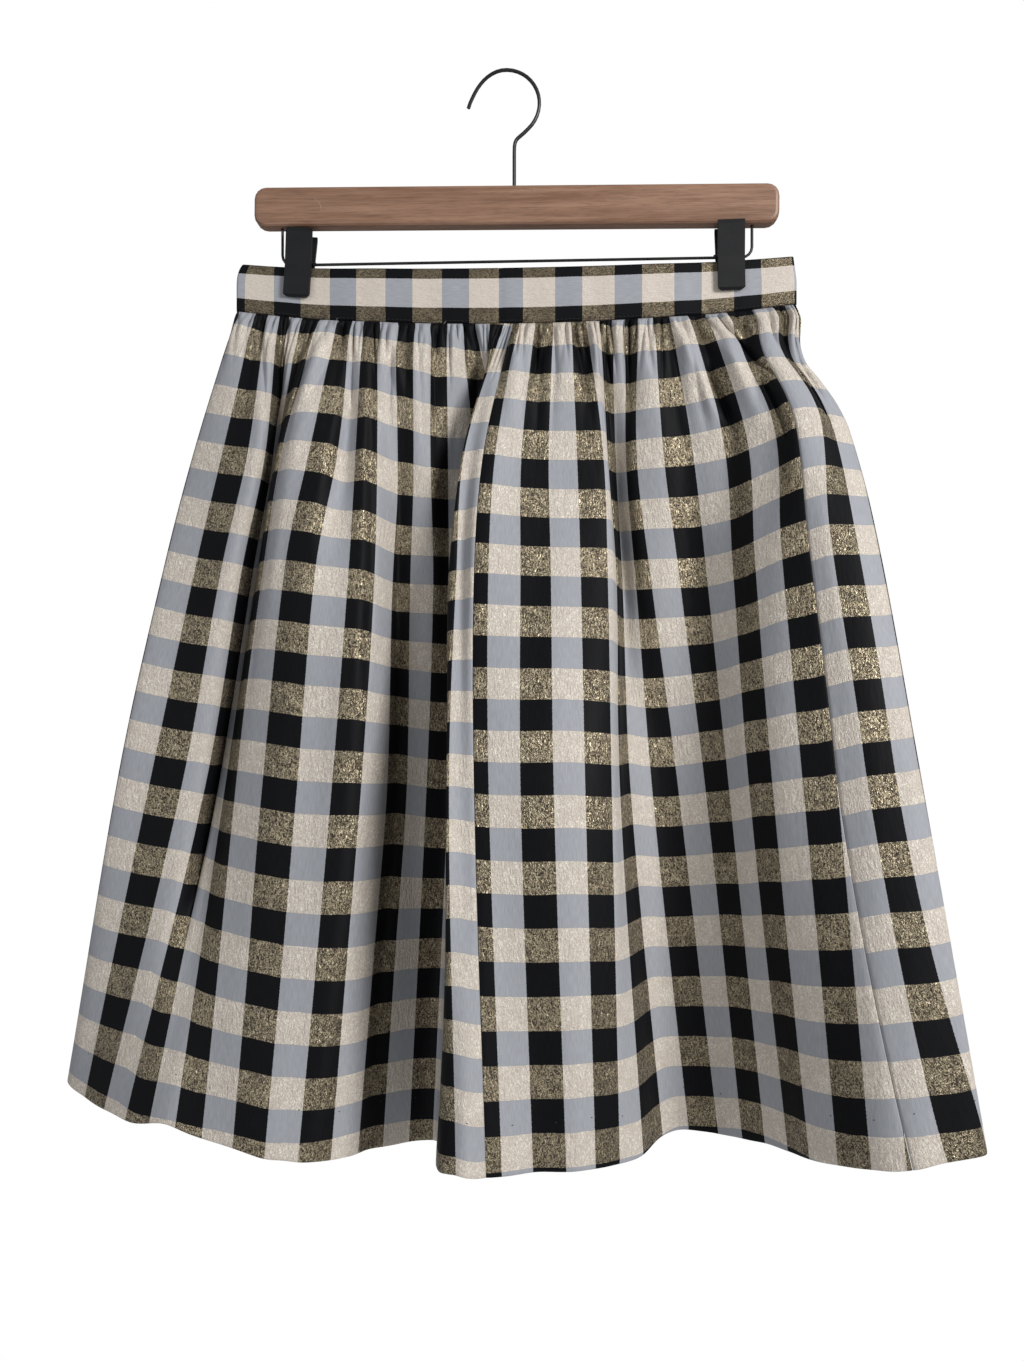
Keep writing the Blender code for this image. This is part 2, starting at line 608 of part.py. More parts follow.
def spring_mesh(name, across, inward):
    """Coil round the clip wire between the jaws; its last turn shows beside them."""
    start = across + inward * (0.5 * JAW_WIDTH + SPRING_OUT)
    path = []
    per_turn = 10
    for i in range(SPRING_TURNS * per_turn + 1):
        angle = 2 * math.pi * i / per_turn
        path.append(Vector((start - inward * SPRING_PITCH * i / per_turn,
                            SPRING_RADIUS * math.cos(angle),
                            CLIP_WIRE_LEVEL - SPRING_DROP + SPRING_RADIUS * math.sin(angle))))
    return tube_mesh(name, path, 0.5 * SPRING_WIRE, 6)


def build_hanger(wood, wire, plastic):
    build_bar(wood)
    hook = tube_mesh("hanger_hook", hook_path(), 0.5 * HOOK_WIRE, 10)
    add_object("hanger_hook", hook, wire)
    smooth_shading(hook)
    rod = tube_mesh("clip_wire", clip_wire_path(), 0.5 * CLIP_WIRE, 8)
    add_object("clip_wire", rod, wire)
    smooth_shading(rod)
    for side, across, lean, inward in CLIPS:
        for layer, facing in (("front", -1.0), ("back", 1.0)):
            name = f"clip_jaw_{layer}_{side}"
            add_object(name, jaw_mesh(name, across, lean, facing), plastic)
        name = f"clip_spring_{side}"
        add_object(name, spring_mesh(name, across, inward), wire)


def build():
    clear_scene()
    cloth = material("check_cloth", CLOTH_GREY, 0.7)
    build_skirt(cloth)
    build_waistband(cloth)
    build_hanger(material("bar_wood", WOOD_BROWN, 0.5), material("black_wire", WIRE_BLACK, 0.35, 0.6),
                 material("clip_plastic", CLIP_BLACK, 0.55))


build()
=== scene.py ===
"""Looks of the gathered check skirt on its clip hanger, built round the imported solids.

Metres, +Z up, in the frame of the solids: the origin is the inside top of the hook and the skirt's
front faces -Y. "Forward" is a distance towards -Y. Cloth is placed by where it lies in the cut
panel: along the cloth from the centre front seam, and down it from the waistband seam.
"""

import math
import random

import bpy
import numpy as np
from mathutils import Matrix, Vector


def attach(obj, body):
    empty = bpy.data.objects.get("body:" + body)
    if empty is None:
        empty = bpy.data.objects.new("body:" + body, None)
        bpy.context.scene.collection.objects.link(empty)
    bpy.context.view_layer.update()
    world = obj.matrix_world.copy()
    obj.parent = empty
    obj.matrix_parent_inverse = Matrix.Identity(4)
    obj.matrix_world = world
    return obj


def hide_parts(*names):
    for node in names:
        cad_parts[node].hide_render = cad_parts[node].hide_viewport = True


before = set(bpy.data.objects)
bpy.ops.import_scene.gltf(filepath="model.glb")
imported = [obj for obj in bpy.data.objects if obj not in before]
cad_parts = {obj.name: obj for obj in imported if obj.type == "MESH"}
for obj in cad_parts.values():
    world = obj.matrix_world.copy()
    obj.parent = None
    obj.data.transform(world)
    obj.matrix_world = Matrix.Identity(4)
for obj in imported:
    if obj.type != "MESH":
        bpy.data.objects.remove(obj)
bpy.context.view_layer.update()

MM = 0.001
CHECK = 0.0205                # side of one check, along the cloth
SEAM_GAP = 0.0003

# Cloth, as in the solids
SKIRT_LENGTH = 0.556
HEM_ROUND = 1.520
LEFT_SIDE_SEAM = -0.410
RIGHT_SIDE_SEAM = 0.297
RIGHT_PANEL_SPREAD = 0.024
SPREAD_START = 0.330
SPREAD_POWER = 1.5            # the side seam swings out slowly, then faster
CLOTH_OUT, CLOTH_IN = 0.00045, 0.00040           # outer and inner face from the middle of the cloth
HEM_TURN = 0.030              # height of the turned-up hem
HEM_THICKER, HEM_STEP = 0.0006, 0.0006           # the turned-up layer, and how fast it begins
HEM_ROLL = (0.90, 0.62, 0.15)                    # thickness left in the last three rows
ROW_STEPS = (                 # rows of points: from this depth, to this one, and how far apart
    (0.0, 0.060, 0.0024),
    (0.060, 0.150, 0.0045),
    (0.150, SKIRT_LENGTH - HEM_TURN - 0.004, 0.0060),
    (SKIRT_LENGTH - HEM_TURN + 0.005, SKIRT_LENGTH - 0.003, 0.0050),
)
TURN_ROWS = (-0.0012, -0.0004, 0.0004, 0.0012)   # closer ones about the top of the turned-up hem
EDGE_ROWS = (-0.0022, -0.0010, -0.0003, 0.0)     # and the last ones, about the hem's edge
SEAM_DIP, SEAM_DIP_REACH = 0.0005, 0.0016        # the panels roll in at their seams
FRONT_LEFT_COLUMNS, FRONT_RIGHT_COLUMNS, BACK_COLUMNS = 390, 330, 390

# Waistband
BAND_LEFT, BAND_RIGHT = -0.1894, 0.2010
BAND_THICKNESS = 0.0022
BAND_FORWARD = 0.00125
BAND_BULGE = 0.0022
BAND_TOP_MIDDLE, BAND_TOP_RISE = -0.1395, 0.0038
BAND_FOOT_MIDDLE, BAND_FOOT_RISE = -0.1785, 0.0095
CLIP_LEFT_EDGE, CLIP_RIGHT_EDGE = -0.13675, 0.14805
LEFT_END_LIFT, RIGHT_END_LIFT = 0.0026, 0.0014
BULGE_EASE = 0.05             # the bulge between the clips comes in over this stretch
BAND_COLUMNS = 150
BAND_ROWS = (                 # share of the height, share of the thickness
    (0.000, 0.25), (0.010, 0.66), (0.028, 0.90), (0.055, 0.98),
    *((share, 1.0) for share in np.linspace(0.10, 0.90, 12)),
    (0.945, 0.97), (0.972, 0.86), (0.990, 0.60), (1.000, 0.25),
)
END_TURN, END_COLUMNS = (8.0, 78.0), 6           # degrees of the round side fold, and its columns
END_INNER_SHARE = 0.6         # how far the inner face goes out with it
BAND_PUFF, BAND_SET_IN = 0.00022, 0.00022
BAND_WAVES = ((1.0, 0.0403, 1.0), (0.7, 0.0231, 0.3))       # strength, length along the band, start
LEFT_CORNER_SLANT, LEFT_CORNER_FROM = 0.0042, -0.160        # the top corners lean in
RIGHT_CORNER_SLANT, RIGHT_CORNER_FROM = 0.0022, 0.165
BAND_SEAM = -0.0028           # where the band's two lengths are joined
BAND_SEAM_DEPTH, BAND_SEAM_HALF = 0.0006, 0.0011
BAND_CHECKS = (
    # start of a glitter check, length of it and the plain one after it, glitter's share, checks before
    (-0.0251, 0.0400, 0.525, 0.0),
    (0.0127, 0.0415, 0.545, 2.0),
)
BAND_LIGHT_TOP, BAND_LIGHT_SHARE = 0.195, 0.527  # where the light strip starts, and its share

BAR_DEPTH = 0.012

# Stitches and thread ends
STITCH_LENGTH, STITCH_STEP = 0.0022, 0.0029
STITCH_HALF_WIDTH = 0.00017
EDGE_STITCH_RISE = 0.0017     # above the lower edge of the band
EDGE_STITCH_OUT = 0.00088     # in front of the middle of the band
EDGE_STITCH_END = 0.003       # clear of the side folds
EDGE_STITCH_WANDER = ((0.00012, 310.0, 0.0), (0.0001, 127.0, 1.0))  # strength, pace along the band, start
EDGE_STITCH_TILT, EDGE_STITCH_PACE = 0.06, 900.0
HEM_STITCH_SEED = 7
HEM_STITCH_RISE = 0.0285      # above the hem
HEM_STITCH_STEP = 0.0290
HEM_STITCH_STEPS = (0.8, 1.2)                    # shares of that step
HEM_STITCH_WANDER = 0.0015
HEM_STITCH_HALF = (0.00065, 0.00032)
HEM_STITCH_SUNK = 0.00005     # into the cloth
HEM_STITCH_FIRST, HEM_STITCH_LAST, HEM_STITCH_CLEAR = 0.012, 0.010, 0.003   # clear of the seams
THREAD_ENDS = (               # across, length, sideways drift, curl
    (-0.1800, 0.0045, -0.0012, 0.0010),
    (-0.1180, 0.0050, 0.0018, -0.0012),
    (-0.0415, 0.0038, -0.0010, 0.0008),
    (0.0185, 0.0052, 0.0014, 0.0012),
    (0.0630, 0.0040, -0.0016, 0.0010),
    (0.1040, 0.0034, 0.0010, -0.0009),
    (0.1490, 0.0056, 0.0022, 0.0012),
    (0.1925, 0.0040, 0.0016, -0.0010),
)
THREAD_OUT, THREAD_RISE = 0.0011, 0.0012         # where a thread end leaves the band
THREAD_REACH, THREAD_BOW, THREAD_BEND = 0.0030, 0.0028, 2.2        # its way forward: even, and in a bow
THREAD_STEPS = 5
BAR_SCRATCHES = (             # points of each: across, in from the bar's face, height
    ((-0.1349, 0.0, -0.0891), (-0.1332, 0.0, -0.0900), (-0.1315, 0.0, -0.0916),
     (-0.1302, 0.0, -0.0938), (-0.1295, 0.0, -0.0960), (-0.1293, 0.0, -0.0982)),
    ((0.0076, 0.0005, -0.0836), (0.0100, 0.0002, -0.0852), (0.0128, 0.0, -0.0874)),
    ((0.0190, 0.0002, -0.0850), (0.0204, 0.0001, -0.0862), (0.0213, 0.0, -0.0876)),
)
THREAD_RADIUS, SCRATCH_RADIUS = 0.00009, 0.00013
THREAD_SIDES = 5
BEAD_SIDES, BEAD_STEPS = 6, 4

# Fold table, as in the solids: heights below the waistband seam, then one line of cloth in a row.
# The layer is 1 for cloth held by the front band, -1 for the back and 0 at the side folds.
TABLE_HEIGHTS = (0.0, 0.098, 0.184, 0.332, 0.556)
FOLDS = (
    # cloth, layer, waist, high across/forward, hip a/f, thigh a/f, hem a/f
    (-424, -1, -186.5, -212, -22, -232, -22, -260, -14, -296, -19),
    (-411, -1, -189.0, -218, -16, -238, -13, -266, -4, -302, -6),
    (-400, 0, -190.8, -220.5, -7, -240.5, -2, -268.5, 8, -305, 8),
    (-389, 1, -189.0, -219, 2, -239, 8, -267, 18, -304, 21),
    (-369, 1, -177, -197, 10, -216, 13, -244, 22, -284, 38),
    (-338, 1, -164, -170, 18, -187, 22, -211, 26, -252, 64),
    (-297, 1, -149, -164, -2, -179, -3, -199, 8, -211, 88),
    (-266, 1, -131, -153, 20, -166, 22, -181, 32, -183, 95),
    (-236, 1, -112, -121, 26, -136, 36, -147, 48, -151, 106),
    (-215, 1, -104, -109, 16, -114, 38, -121, 56, -130, 108),
    (-195, 1, -94, -94, 27, -93, 42, -100, 62, -111, 105),
    (-174, 1, -82, -81, 17, -82, 34, -85, 54, -95, 89),
    (-154, 1, -69, -69, 20, -74, 24, -74, 38, -83, 73),
    (-123, 1, -52, -52, 9, -50, 10, -54, 18, -60, 57),
    (-100, 1, -39, -39, -4, -38, 1, -38, 13, -43, 57),
    (-76, 1, -27, -17, -14, -14, -3, -31, 33, -38, 78),
    (-62, 1, -21, -4, -9, -12.5, 7.5, -28, 48, -37, 96),
    (-51, 1, -16, -8, 0, -23, 10.5, -27, 58, -36, 106),
    (-40, 1, -10, -18, 4, -33, 14, -28, 68, -34, 122),
    (-31, 1, -5, -26, 7, -35.6, 22.7, -30, 77, -30, 136),
    (-22, 1, -1, -27, 14, -31.2, 30.5, -30, 87, -22, 141),
    (-12, 1, 2, -21.5, 21, -25, 38.3, -23, 94, -14, 142),
    (0, 1, 5.5, -13, 27, -18, 48, -14, 99, -4, 134),
    (30, 1, 21, 12, 24, 12, 47, 14, 100, 22, 121),
    (61, 1, 40, 40, 21, 42, 44, 44, 100, 51, 119),
    (92, 1, 57, 68, 19, 70, 38, 70, 88, 74, 103),
    (112, 1, 66, 72, 5, 77, 20, 76, 70, 89, 87),
    (133, 1, 75, 78, -5, 82, 3, 84, 52, 104, 61),
    (153, 1, 84, 85, 0, 91, 8, 99, 43, 122, 47),
    (174, 1, 93, 92, 8, 101, 16, 117, 42, 142, 46),
    (205, 1, 109, 120, 14, 130, 20, 141, 56, 163, 58),
    (235, 1, 127, 150, 16, 153, 35, 156, 77, 179, 82),
    (256, 1, 140, 164, 26, 165, 50, 168, 90, 187, 104),
    (276, 1, 154, 180, 35, 179, 62, 183, 100, 199, 120),
    (297, 1, 172, 191, 44, 194, 70, 201, 108, 213, 138),
    (317, 1, 186, 207.5, 42, 206, 74, 215.5, 114, 229, 148),
    (338, 1, 195, 217, 34, 222, 72, 232, 116, 247, 148),
    (358, 1, 200.2, 230.5, 24, 236.5, 64, 246.5, 110, 272, 145),
    (370, 0, 202.4, 232.5, 13, 240, 53, 249.5, 99, 276, 135),
    (382, -1, 200.5, 229.5, 2, 238, 41, 247.5, 87, 274, 122),
)
BACK_FOLD_WIDTHS = (1.00, 1.25, 0.80, 1.15, 0.90, 1.30, 0.85, 1.10, 1.00)       # in proportion
BACK_REACH = (BAND_FORWARD / MM, 38.0, 50.0, 60.0, 64.0)    # how far back it hangs, in mm
BACK_FLATNESS = 2.6
BACK_FOLD_LIMIT = 30.0
BACK_FOLD_START = 0.085

# The right shoulder is drawn in, in mm, at each of these depths
SHOULDER_DEPTHS = (0.0, 0.010, 0.020, 0.030, 0.045, 0.060, 0.080, 0.098)
SHOULDER_DRAWN_IN = (0.0, 0.2, 3.9, 7.6, 9.3, 6.2, 2.2, 0.0)
SHOULDER_FROM, SHOULDER_FULL = 0.250, 0.335

# Gathers under the waistband
GATHER_CLOTH = 0.041
GATHER_DEPTHS = (0.0, 0.010, 0.026, 0.060, 0.120)
GATHER_LIFTS = (0.0, 0.0045, 0.0062, 0.0030, 0.0)           # at each of those depths
GATHER_FREE_END = 0.030
LEFT_FOLD, RIGHT_FOLD = -0.400, 0.370
OVERLAP_FOLD, OVERLAP_REACH = -0.042, 0.055
OVERLAP_NEAR = 0.02
CREST_LEFT, CREST_SHIFT, CREST_BACK = -0.01025, -0.0105, 0.0135      # where the first crest lies
CREST_SHIFT_FROM, CREST_BACK_FROM, CREST_BACK_FULL = -0.035, 0.6, 0.8
CREST_ROUND = 0.015
UNEVEN_BEAT, UNEVEN_CLOTH, UNEVEN_START = 0.08, 0.131, 1.3           # the gathers' uneven widths
SIDE_WANDER = 0.006           # how far past its top place the right side seam is taken to lie
PINCH_START = 0.0035
PINCH_CYCLES = (0.171, 0.093, 0.0583)            # cloth over which lean, width and strength change
PINCH_UNEVEN = 0.8
PINCH_SHARP = (2.2, 0.02, 1.4)                   # round crests and tight valleys
PINCH_STRONG = (0.62, 0.38)                      # usual strength, and by how much it changes
PINCH_SEAM_CALM = 0.012
PINCHES = (                   # cloth in one, half depth, fades from, gone at, lean, start
    (0.0137, 0.00170, 0.006, 0.046, 0.35, 0.4),
    (0.0083, 0.00080, 0.003, 0.020, 0.60, 2.1),
    (0.0246, 0.00150, 0.026, 0.110, 0.25, 4.4),
)

# Furrows at the gathering thread, each drawn between a least and a greatest value
TUCK_SEED = 11
TUCK_FIRST = 0.006            # past the left side seam
TUCK_LENGTHS, TUCK_DEPTHS = (0.012, 0.055), (0.0012, 0.0034)
TUCK_HALF_WIDTHS, TUCK_LEANS, TUCK_STEPS = (0.0015, 0.0024), (-0.14, 0.14), (0.007, 0.019)
TUCK_START, TUCK_FULL_SHARE = 0.0025, 0.3

# Slow unevenness of hanging cloth; a wave is its strength, cloth in one, depth in one, start
DRAPE_HEIGHT = 0.00045
DRAPE_FROM, DRAPE_FULL = 0.02, 0.12
DRAPE_SEAM_CALM = 0.02
DRAPE_WAVES = ((1.0, 0.083, 0.61, 0.8), (0.7, 0.047, -0.43, 2.1), (0.5, 0.031, 0.27, 4.0))

# Creases that are seen one by one, in mm
CREASE_RUN_OUT = 0.15         # share of its length by which a crease runs on past its ends
CREASE_FULL = (0.2, 0.75)     # and between which shares it is at its full height
CREASES = (
    # top: cloth, depth; foot: cloth, depth; half width; height, or depth below zero
    (-326, 4, -315, 62, 4.0, -4.0),
    (-318, 96, -312, 400, 2.8, -5.5),
    (-317, 55, -313, 420, 8.0, -13.0),
    (-300, 5, -318, 110, 2.6, -5.0),
    (-290, 4, -306, 66, 3.5, -3.0),
    (-265, 14, -263, 260, 2.8, -3.8),
    (-256, 20, -254, 220, 5.0, 2.0),
    (-236, 110, -236, 420, 18.0, 6.0),
    (-219, 4, -214, 64, 2.6, -2.2),
    (-192, 60, -187, 260, 6.0, -4.0),
    (-168, 5, -173, 72, 3.0, -2.6),
    (-161, 90, -158, 520, 11.0, -7.0),
    (-156, 82, -150, 400, 24.0, -15.0),
    (-122, 5, -118, 66, 3.0, -2.4),
    (-28, 46, -28, 470, 12.0, 15.0),
    (38, 3, 34, 46, 2.6, -2.2),
    (77, 3, 82, 58, 2.8, -2.6),
    (101, 20, 101, 300, 5.0, 2.0),
    (113, 12, 112, 330, 2.6, -4.2),
    (150, 3, 155, 54, 2.8, -2.4),
    (186, 3, 190, 40, 2.8, -2.0),
    (212, 60, 206, 300, 12.0, -4.0),
    (222, 10, 234, 82, 5.0, 3.2),
    (240, 40, 247, 86, 4.0, -4.6),
    (262, 20, 268, 100, 6.0, 2.4),
    (268, 6, 297, 62, 2.6, -4.2),
    (284, 62, 288, 112, 3.4, -4.6),
    (306, 4, 316, 40, 3.0, -2.6),
    (330, 56, 336, 104, 3.2, -3.0),
    (352, 16, 342, 84, 2.4, -3.2),
)

# How far the rows of checks lie below an even count, in mm: the cloth, then at each of these depths
PHASE_DEPTHS = (0.0, 0.060, 0.120, 0.190, 0.270, 0.340, 0.410, 0.480, 0.552)
PHASES = {
    "skirt_front_left": (
        (-389, -6, -1, -1, -1, -2, -3, -2, 0, 0),
        (-338, 0, 4, 4, 3, 0, -1, -2, -2, 0),
        (-297, -4, 1, -1, 1, 1, 2, 5, 6, 6),
        (-256, -3, -2, -1, 0, 0, 3, 6, 6, 1),
        (-215, -1, -4, 2, 3, 2, 4, 6, 4, -2),
        (-174, 1, -2, 5, 7, 4, 3, 4, 3, -6),
        (-133, 2, 3, 7, 6, 5, 3, 3, -1, -6),
        (-10, 8, 2, 2, 5, 10, 11, 8, 5, -1),
    ),
    "skirt_front_right": (
        (10, 4, 4, 6, 9, 15, 14, 11, 9, 6),
        (100, 5, 5, 7, 9, 15, 14, 11, 9, 6),
        (130, 11, 9, 9, 11, 15, 13, 11, 9, 8),
        (195, 12, 10, 11, 13, 12, 9, 6, 4, 2),
        (245, 10, 8, 12, 17, 13, 10, 8, 6.5, 6),
        (287, 11, 10, 11, 16, 15, 13, 11, 11.5, 11),
    ),
    "skirt_back": (
        (300, 10, 13, 20, 23, 23, 19, 15, 12.5, 10),
        (350, 10, 15, 21, 26, 26, 20, 17, 15, 14),
        (560, 12, 12, 12, 12, 12, 12, 12, 12, 12),
    ),
}
ROW_START = 0.0144            # depth of the first change of row on the right
CHECK_STARTS = {              # cloth at the first light column, None for the seam; first row's depth
    "skirt_front_left": (-0.3895, ROW_START - CHECK),
    "skirt_front_right": (0.0100, ROW_START),
    "skirt_back": (None, ROW_START),
}

# Camera: level with the middle of the skirt, a little to the right of square on
CAMERA_TURN = math.radians(2.5)
CAMERA_AWAY = 0.723
CAMERA_ACROSS, CAMERA_HEIGHT = 0.0049, -0.429
CAMERA_LENS, CAMERA_SENSOR = 27.14, 36.0

FLOOR_HEIGHT, FLOOR_HALF = -1.60, 0.95          # the hook hangs at the height of a shop rail
ROOM_LIGHT, BACKDROP_LIGHT = 0.27, 1.0          # the white room, as light and as seen
LIGHTS = (                    # name, place, what it points at, size, watts, colour
    ("window_key", (1.60, -1.45, 0.50), (0.0, 0.0, -0.38), (0.7, 0.9), 47.0, (1.0, 0.99, 0.97)),
    ("front_fill", (-1.5, -1.9, 0.1), (0.0, 0.0, -0.4), (1.4, 1.4), 10.0, (0.96, 0.98, 1.0)),
)


# -------------------- reading smooth curves

def smoothstep(low, high, value):
    """0 up to low and 1 from high on, with a smooth way between."""
    t = np.clip((value - low) / (high - low), 0.0, 1.0)
    return t * t * (3.0 - 2.0 * t)


def curve(keys, values, x):
    """Smooth curve through (keys, values), read at every x."""
    keys, values = np.asarray(keys, float), np.asarray(values, float)
    x = np.asarray(x, float)
    count = np.arange(len(keys))
    before, after = np.maximum(count - 1, 0), np.minimum(count + 1, len(keys) - 1)
    steep = (values[after] - values[before]) / (keys[after] - keys[before])
    i = np.clip(np.searchsorted(keys, x, side="right") - 1, 0, len(keys) - 2)
    span = keys[i + 1] - keys[i]
    t = (x - keys[i]) / span
    t2, t3 = t * t, t * t * t
    return ((2 * t3 - 3 * t2 + 1) * values[i] + (t3 - 2 * t2 + t) * span * steep[i]
            + (3 * t2 - 2 * t3) * values[i + 1] + (t3 - t2) * span * steep[i + 1])


# -------------------- the skirt's surface

BAND_MIDDLE = 0.5 * (BAND_LEFT + BAND_RIGHT)
BAND_HALF = 0.5 * (BAND_RIGHT - BAND_LEFT)


def band_curl(across):
    """The ends of the band stand a little higher than the clips hold the rest."""
    share = (across - BAND_MIDDLE) / BAND_HALF
    return np.where(share < 0.0, LEFT_END_LIFT, RIGHT_END_LIFT) * abs(share) ** 3


def band_foot(across):
    """Height of the band's lower edge, where the skirt is sewn on."""
    return BAND_FOOT_MIDDLE + BAND_FOOT_RISE * ((across - BAND_MIDDLE) / BAND_HALF) ** 2 + band_curl(across)


def band_top(across):
    """Height of the band's upper edge."""
    return BAND_TOP_MIDDLE + BAND_TOP_RISE * ((across - BAND_MIDDLE) / BAND_HALF) ** 2 + band_curl(across)


def band_forward(across):
    """How far forward the band's front layer lies; it bulges between the clips."""
    inside = smoothstep(CLIP_LEFT_EDGE, CLIP_LEFT_EDGE + BULGE_EASE, across)
    inside = inside * (1.0 - smoothstep(CLIP_RIGHT_EDGE - BULGE_EASE, CLIP_RIGHT_EDGE, across))
    return BAND_FORWARD + BAND_BULGE * inside


def drawn_in(cloth, depth):
    """How far the right shoulder lies in from the fold table, in mm."""
    if depth >= SHOULDER_DEPTHS[-1]:
        return 0.0
    most = curve(SHOULDER_DEPTHS, SHOULDER_DRAWN_IN, depth)
    return float(most * smoothstep(SHOULDER_FROM, SHOULDER_FULL, cloth))


def front_knots(depth):
    """The fold table read at one depth: cloth, across and forward, in mm."""
    knots = []
    for cloth, layer, waist, *lower in FOLDS:
        start = band_forward(waist * MM) / MM if layer > 0 else layer * BAND_FORWARD / MM
        across = curve(TABLE_HEIGHTS, (waist, *lower[0::2]), depth)
        forward = curve(TABLE_HEIGHTS, (start, *lower[1::2]), depth)
        knots.append((cloth, float(across) - drawn_in(cloth * MM, depth), float(forward)))
    return knots


def back_knots(depth, right, left):
    """Soft folds of the back, between the last front knot on the right and the first on the left."""
    left_cloth = left[0] + HEM_ROUND / MM
    reach = float(curve(TABLE_HEIGHTS, BACK_REACH, depth))
    grown = float(smoothstep(0.0, BACK_FOLD_START, depth))

    def base(share):
        across = right[1] + (left[1] - right[1]) * share
        ends = right[2] + (left[2] - right[2]) * share
        fullness = 1.0 - abs(2.0 * share - 1.0) ** BACK_FLATNESS
        return Vector((across, ends - (reach + 0.5 * (right[2] + left[2])) * fullness))

    stops = [0.0]
    for width in BACK_FOLD_WIDTHS:
        half = 0.5 * width / sum(BACK_FOLD_WIDTHS)
        stops += [stops[-1] + half, stops[-1] + 2 * half]
    knots = []
    for i in range(1, len(stops) - 1):
        before, after = base(stops[i - 1]), base(stops[i + 1])
        cloth = 0.5 * (stops[i + 1] - stops[i - 1]) * (left_cloth - right[0])
        fold = math.sqrt(max(cloth ** 2 - 0.25 * (after - before).length_squared, 0.0))
        fold = min(fold, BACK_FOLD_LIMIT) * grown * (0.5 if i % 2 else -0.5)
        way = (after - before).normalized()
        place = base(stops[i]) + Vector((way.y, -way.x)) * fold
        knots.append((right[0] + stops[i] * (left_cloth - right[0]), place.x, place.y))
    return knots


def ring_at(depth):
    """The whole ring at one depth, with a few knots of overlap so that it reads smoothly all round."""
    front = front_knots(depth)
    ring = front + back_knots(depth, front[-1], front[0])
    turn = HEM_ROUND / MM
    ring = [(c - turn, a, f) for c, a, f in ring[-4:]] + ring + [(c + turn, a, f) for c, a, f in ring[:4]]
    return np.array(ring) * MM


def outward(cloth):
    """1 where forward is out of the skirt and -1 round the back."""
    return np.where((cloth > LEFT_FOLD) & (cloth < RIGHT_FOLD), 1.0, -1.0)


def away_from(cloth, left, right, reach):
    """1 in the open cloth, falling to 0 at two lines of it, the left of which comes round again."""
    nearest = np.minimum(np.minimum(abs(cloth - left), abs(cloth - right)), abs(cloth - left - HEM_ROUND))
    return smoothstep(0.0, reach, nearest)


def side_calm(cloth, reach):
    """Stills the cloth at the two side seams, where the panels must meet."""
    return away_from(cloth, LEFT_SIDE_SEAM, RIGHT_SIDE_SEAM + SIDE_WANDER, reach)


def gather(cloth, depth):
    """Lift of the gathers: round crests on the light checks, tight valleys between them."""
    height = float(np.maximum(curve(GATHER_DEPTHS, GATHER_LIFTS, min(depth, GATHER_DEPTHS[-1])), 0.0))
    calm = away_from(cloth, LEFT_FOLD, RIGHT_FOLD, GATHER_FREE_END)
    calm = calm * smoothstep(OVERLAP_NEAR, OVERLAP_REACH, abs(cloth - OVERLAP_FOLD))
    crest = CREST_LEFT + CREST_SHIFT * smoothstep(CREST_SHIFT_FROM, 0.0, cloth)
    crest = crest + CREST_BACK * smoothstep(CREST_BACK_FROM, CREST_BACK_FULL, cloth)
    beat = (cloth - crest) / GATHER_CLOTH
    uneven = UNEVEN_BEAT * np.sin(2 * math.pi * cloth / UNEVEN_CLOTH + UNEVEN_START)
    beat = beat + side_calm(cloth, GATHER_CLOTH) * uneven
    lift = np.sqrt(np.cos(math.pi * beat) ** 2 + CREST_ROUND)
    return outward(cloth) * height * lift * calm


def gathering_tucks():
    """Where the gathering thread pulls the cloth into sharp little furrows."""
    chance = random.Random(TUCK_SEED)
    tucks, cloth = [], LEFT_SIDE_SEAM + TUCK_FIRST
    while cloth < LEFT_SIDE_SEAM + HEM_ROUND:
        tucks.append((cloth, chance.uniform(*TUCK_LENGTHS), chance.uniform(*TUCK_DEPTHS),
                      chance.uniform(*TUCK_HALF_WIDTHS), chance.uniform(*TUCK_LEANS)))
        cloth += chance.uniform(*TUCK_STEPS)
    return tucks


TUCKS = gathering_tucks()


def pinches(cloth, depth):
    """Small puckers at the gathering stitches, each running down its own way."""
    out = np.zeros_like(cloth)
    lean_cycle, width_cycle, strength_cycle = PINCH_CYCLES
    steep, round_top, low_by = PINCH_SHARP
    usual, change = PINCH_STRONG
    for width, deep, low, high, lean, start in PINCHES:
        shown = float(smoothstep(0.0, PINCH_START, depth) * (1.0 - smoothstep(low, high, depth)))
        along = cloth + lean * depth * np.sin(2 * math.pi * cloth / lean_cycle + start)
        uneven = PINCH_UNEVEN * np.sin(2 * math.pi * along / width_cycle + start)
        wave = steep * np.sqrt(np.cos(math.pi * along / width + uneven) ** 2 + round_top) - low_by
        strong = usual + change * np.sin(2 * math.pi * along / strength_cycle + 2.0 * start)
        out = out + deep * shown * wave * strong
    for middle, length, deep, half, lean in TUCKS:
        if 0.0 < depth < length:
            fading = smoothstep(TUCK_FULL_SHARE * length, length, depth)
            shown = float(smoothstep(0.0, TUCK_START, depth) * (1.0 - fading))
            out = out - deep * shown * np.exp(-((cloth - middle - lean * depth) / half) ** 2)
    return outward(cloth) * out * side_calm(cloth, PINCH_SEAM_CALM)


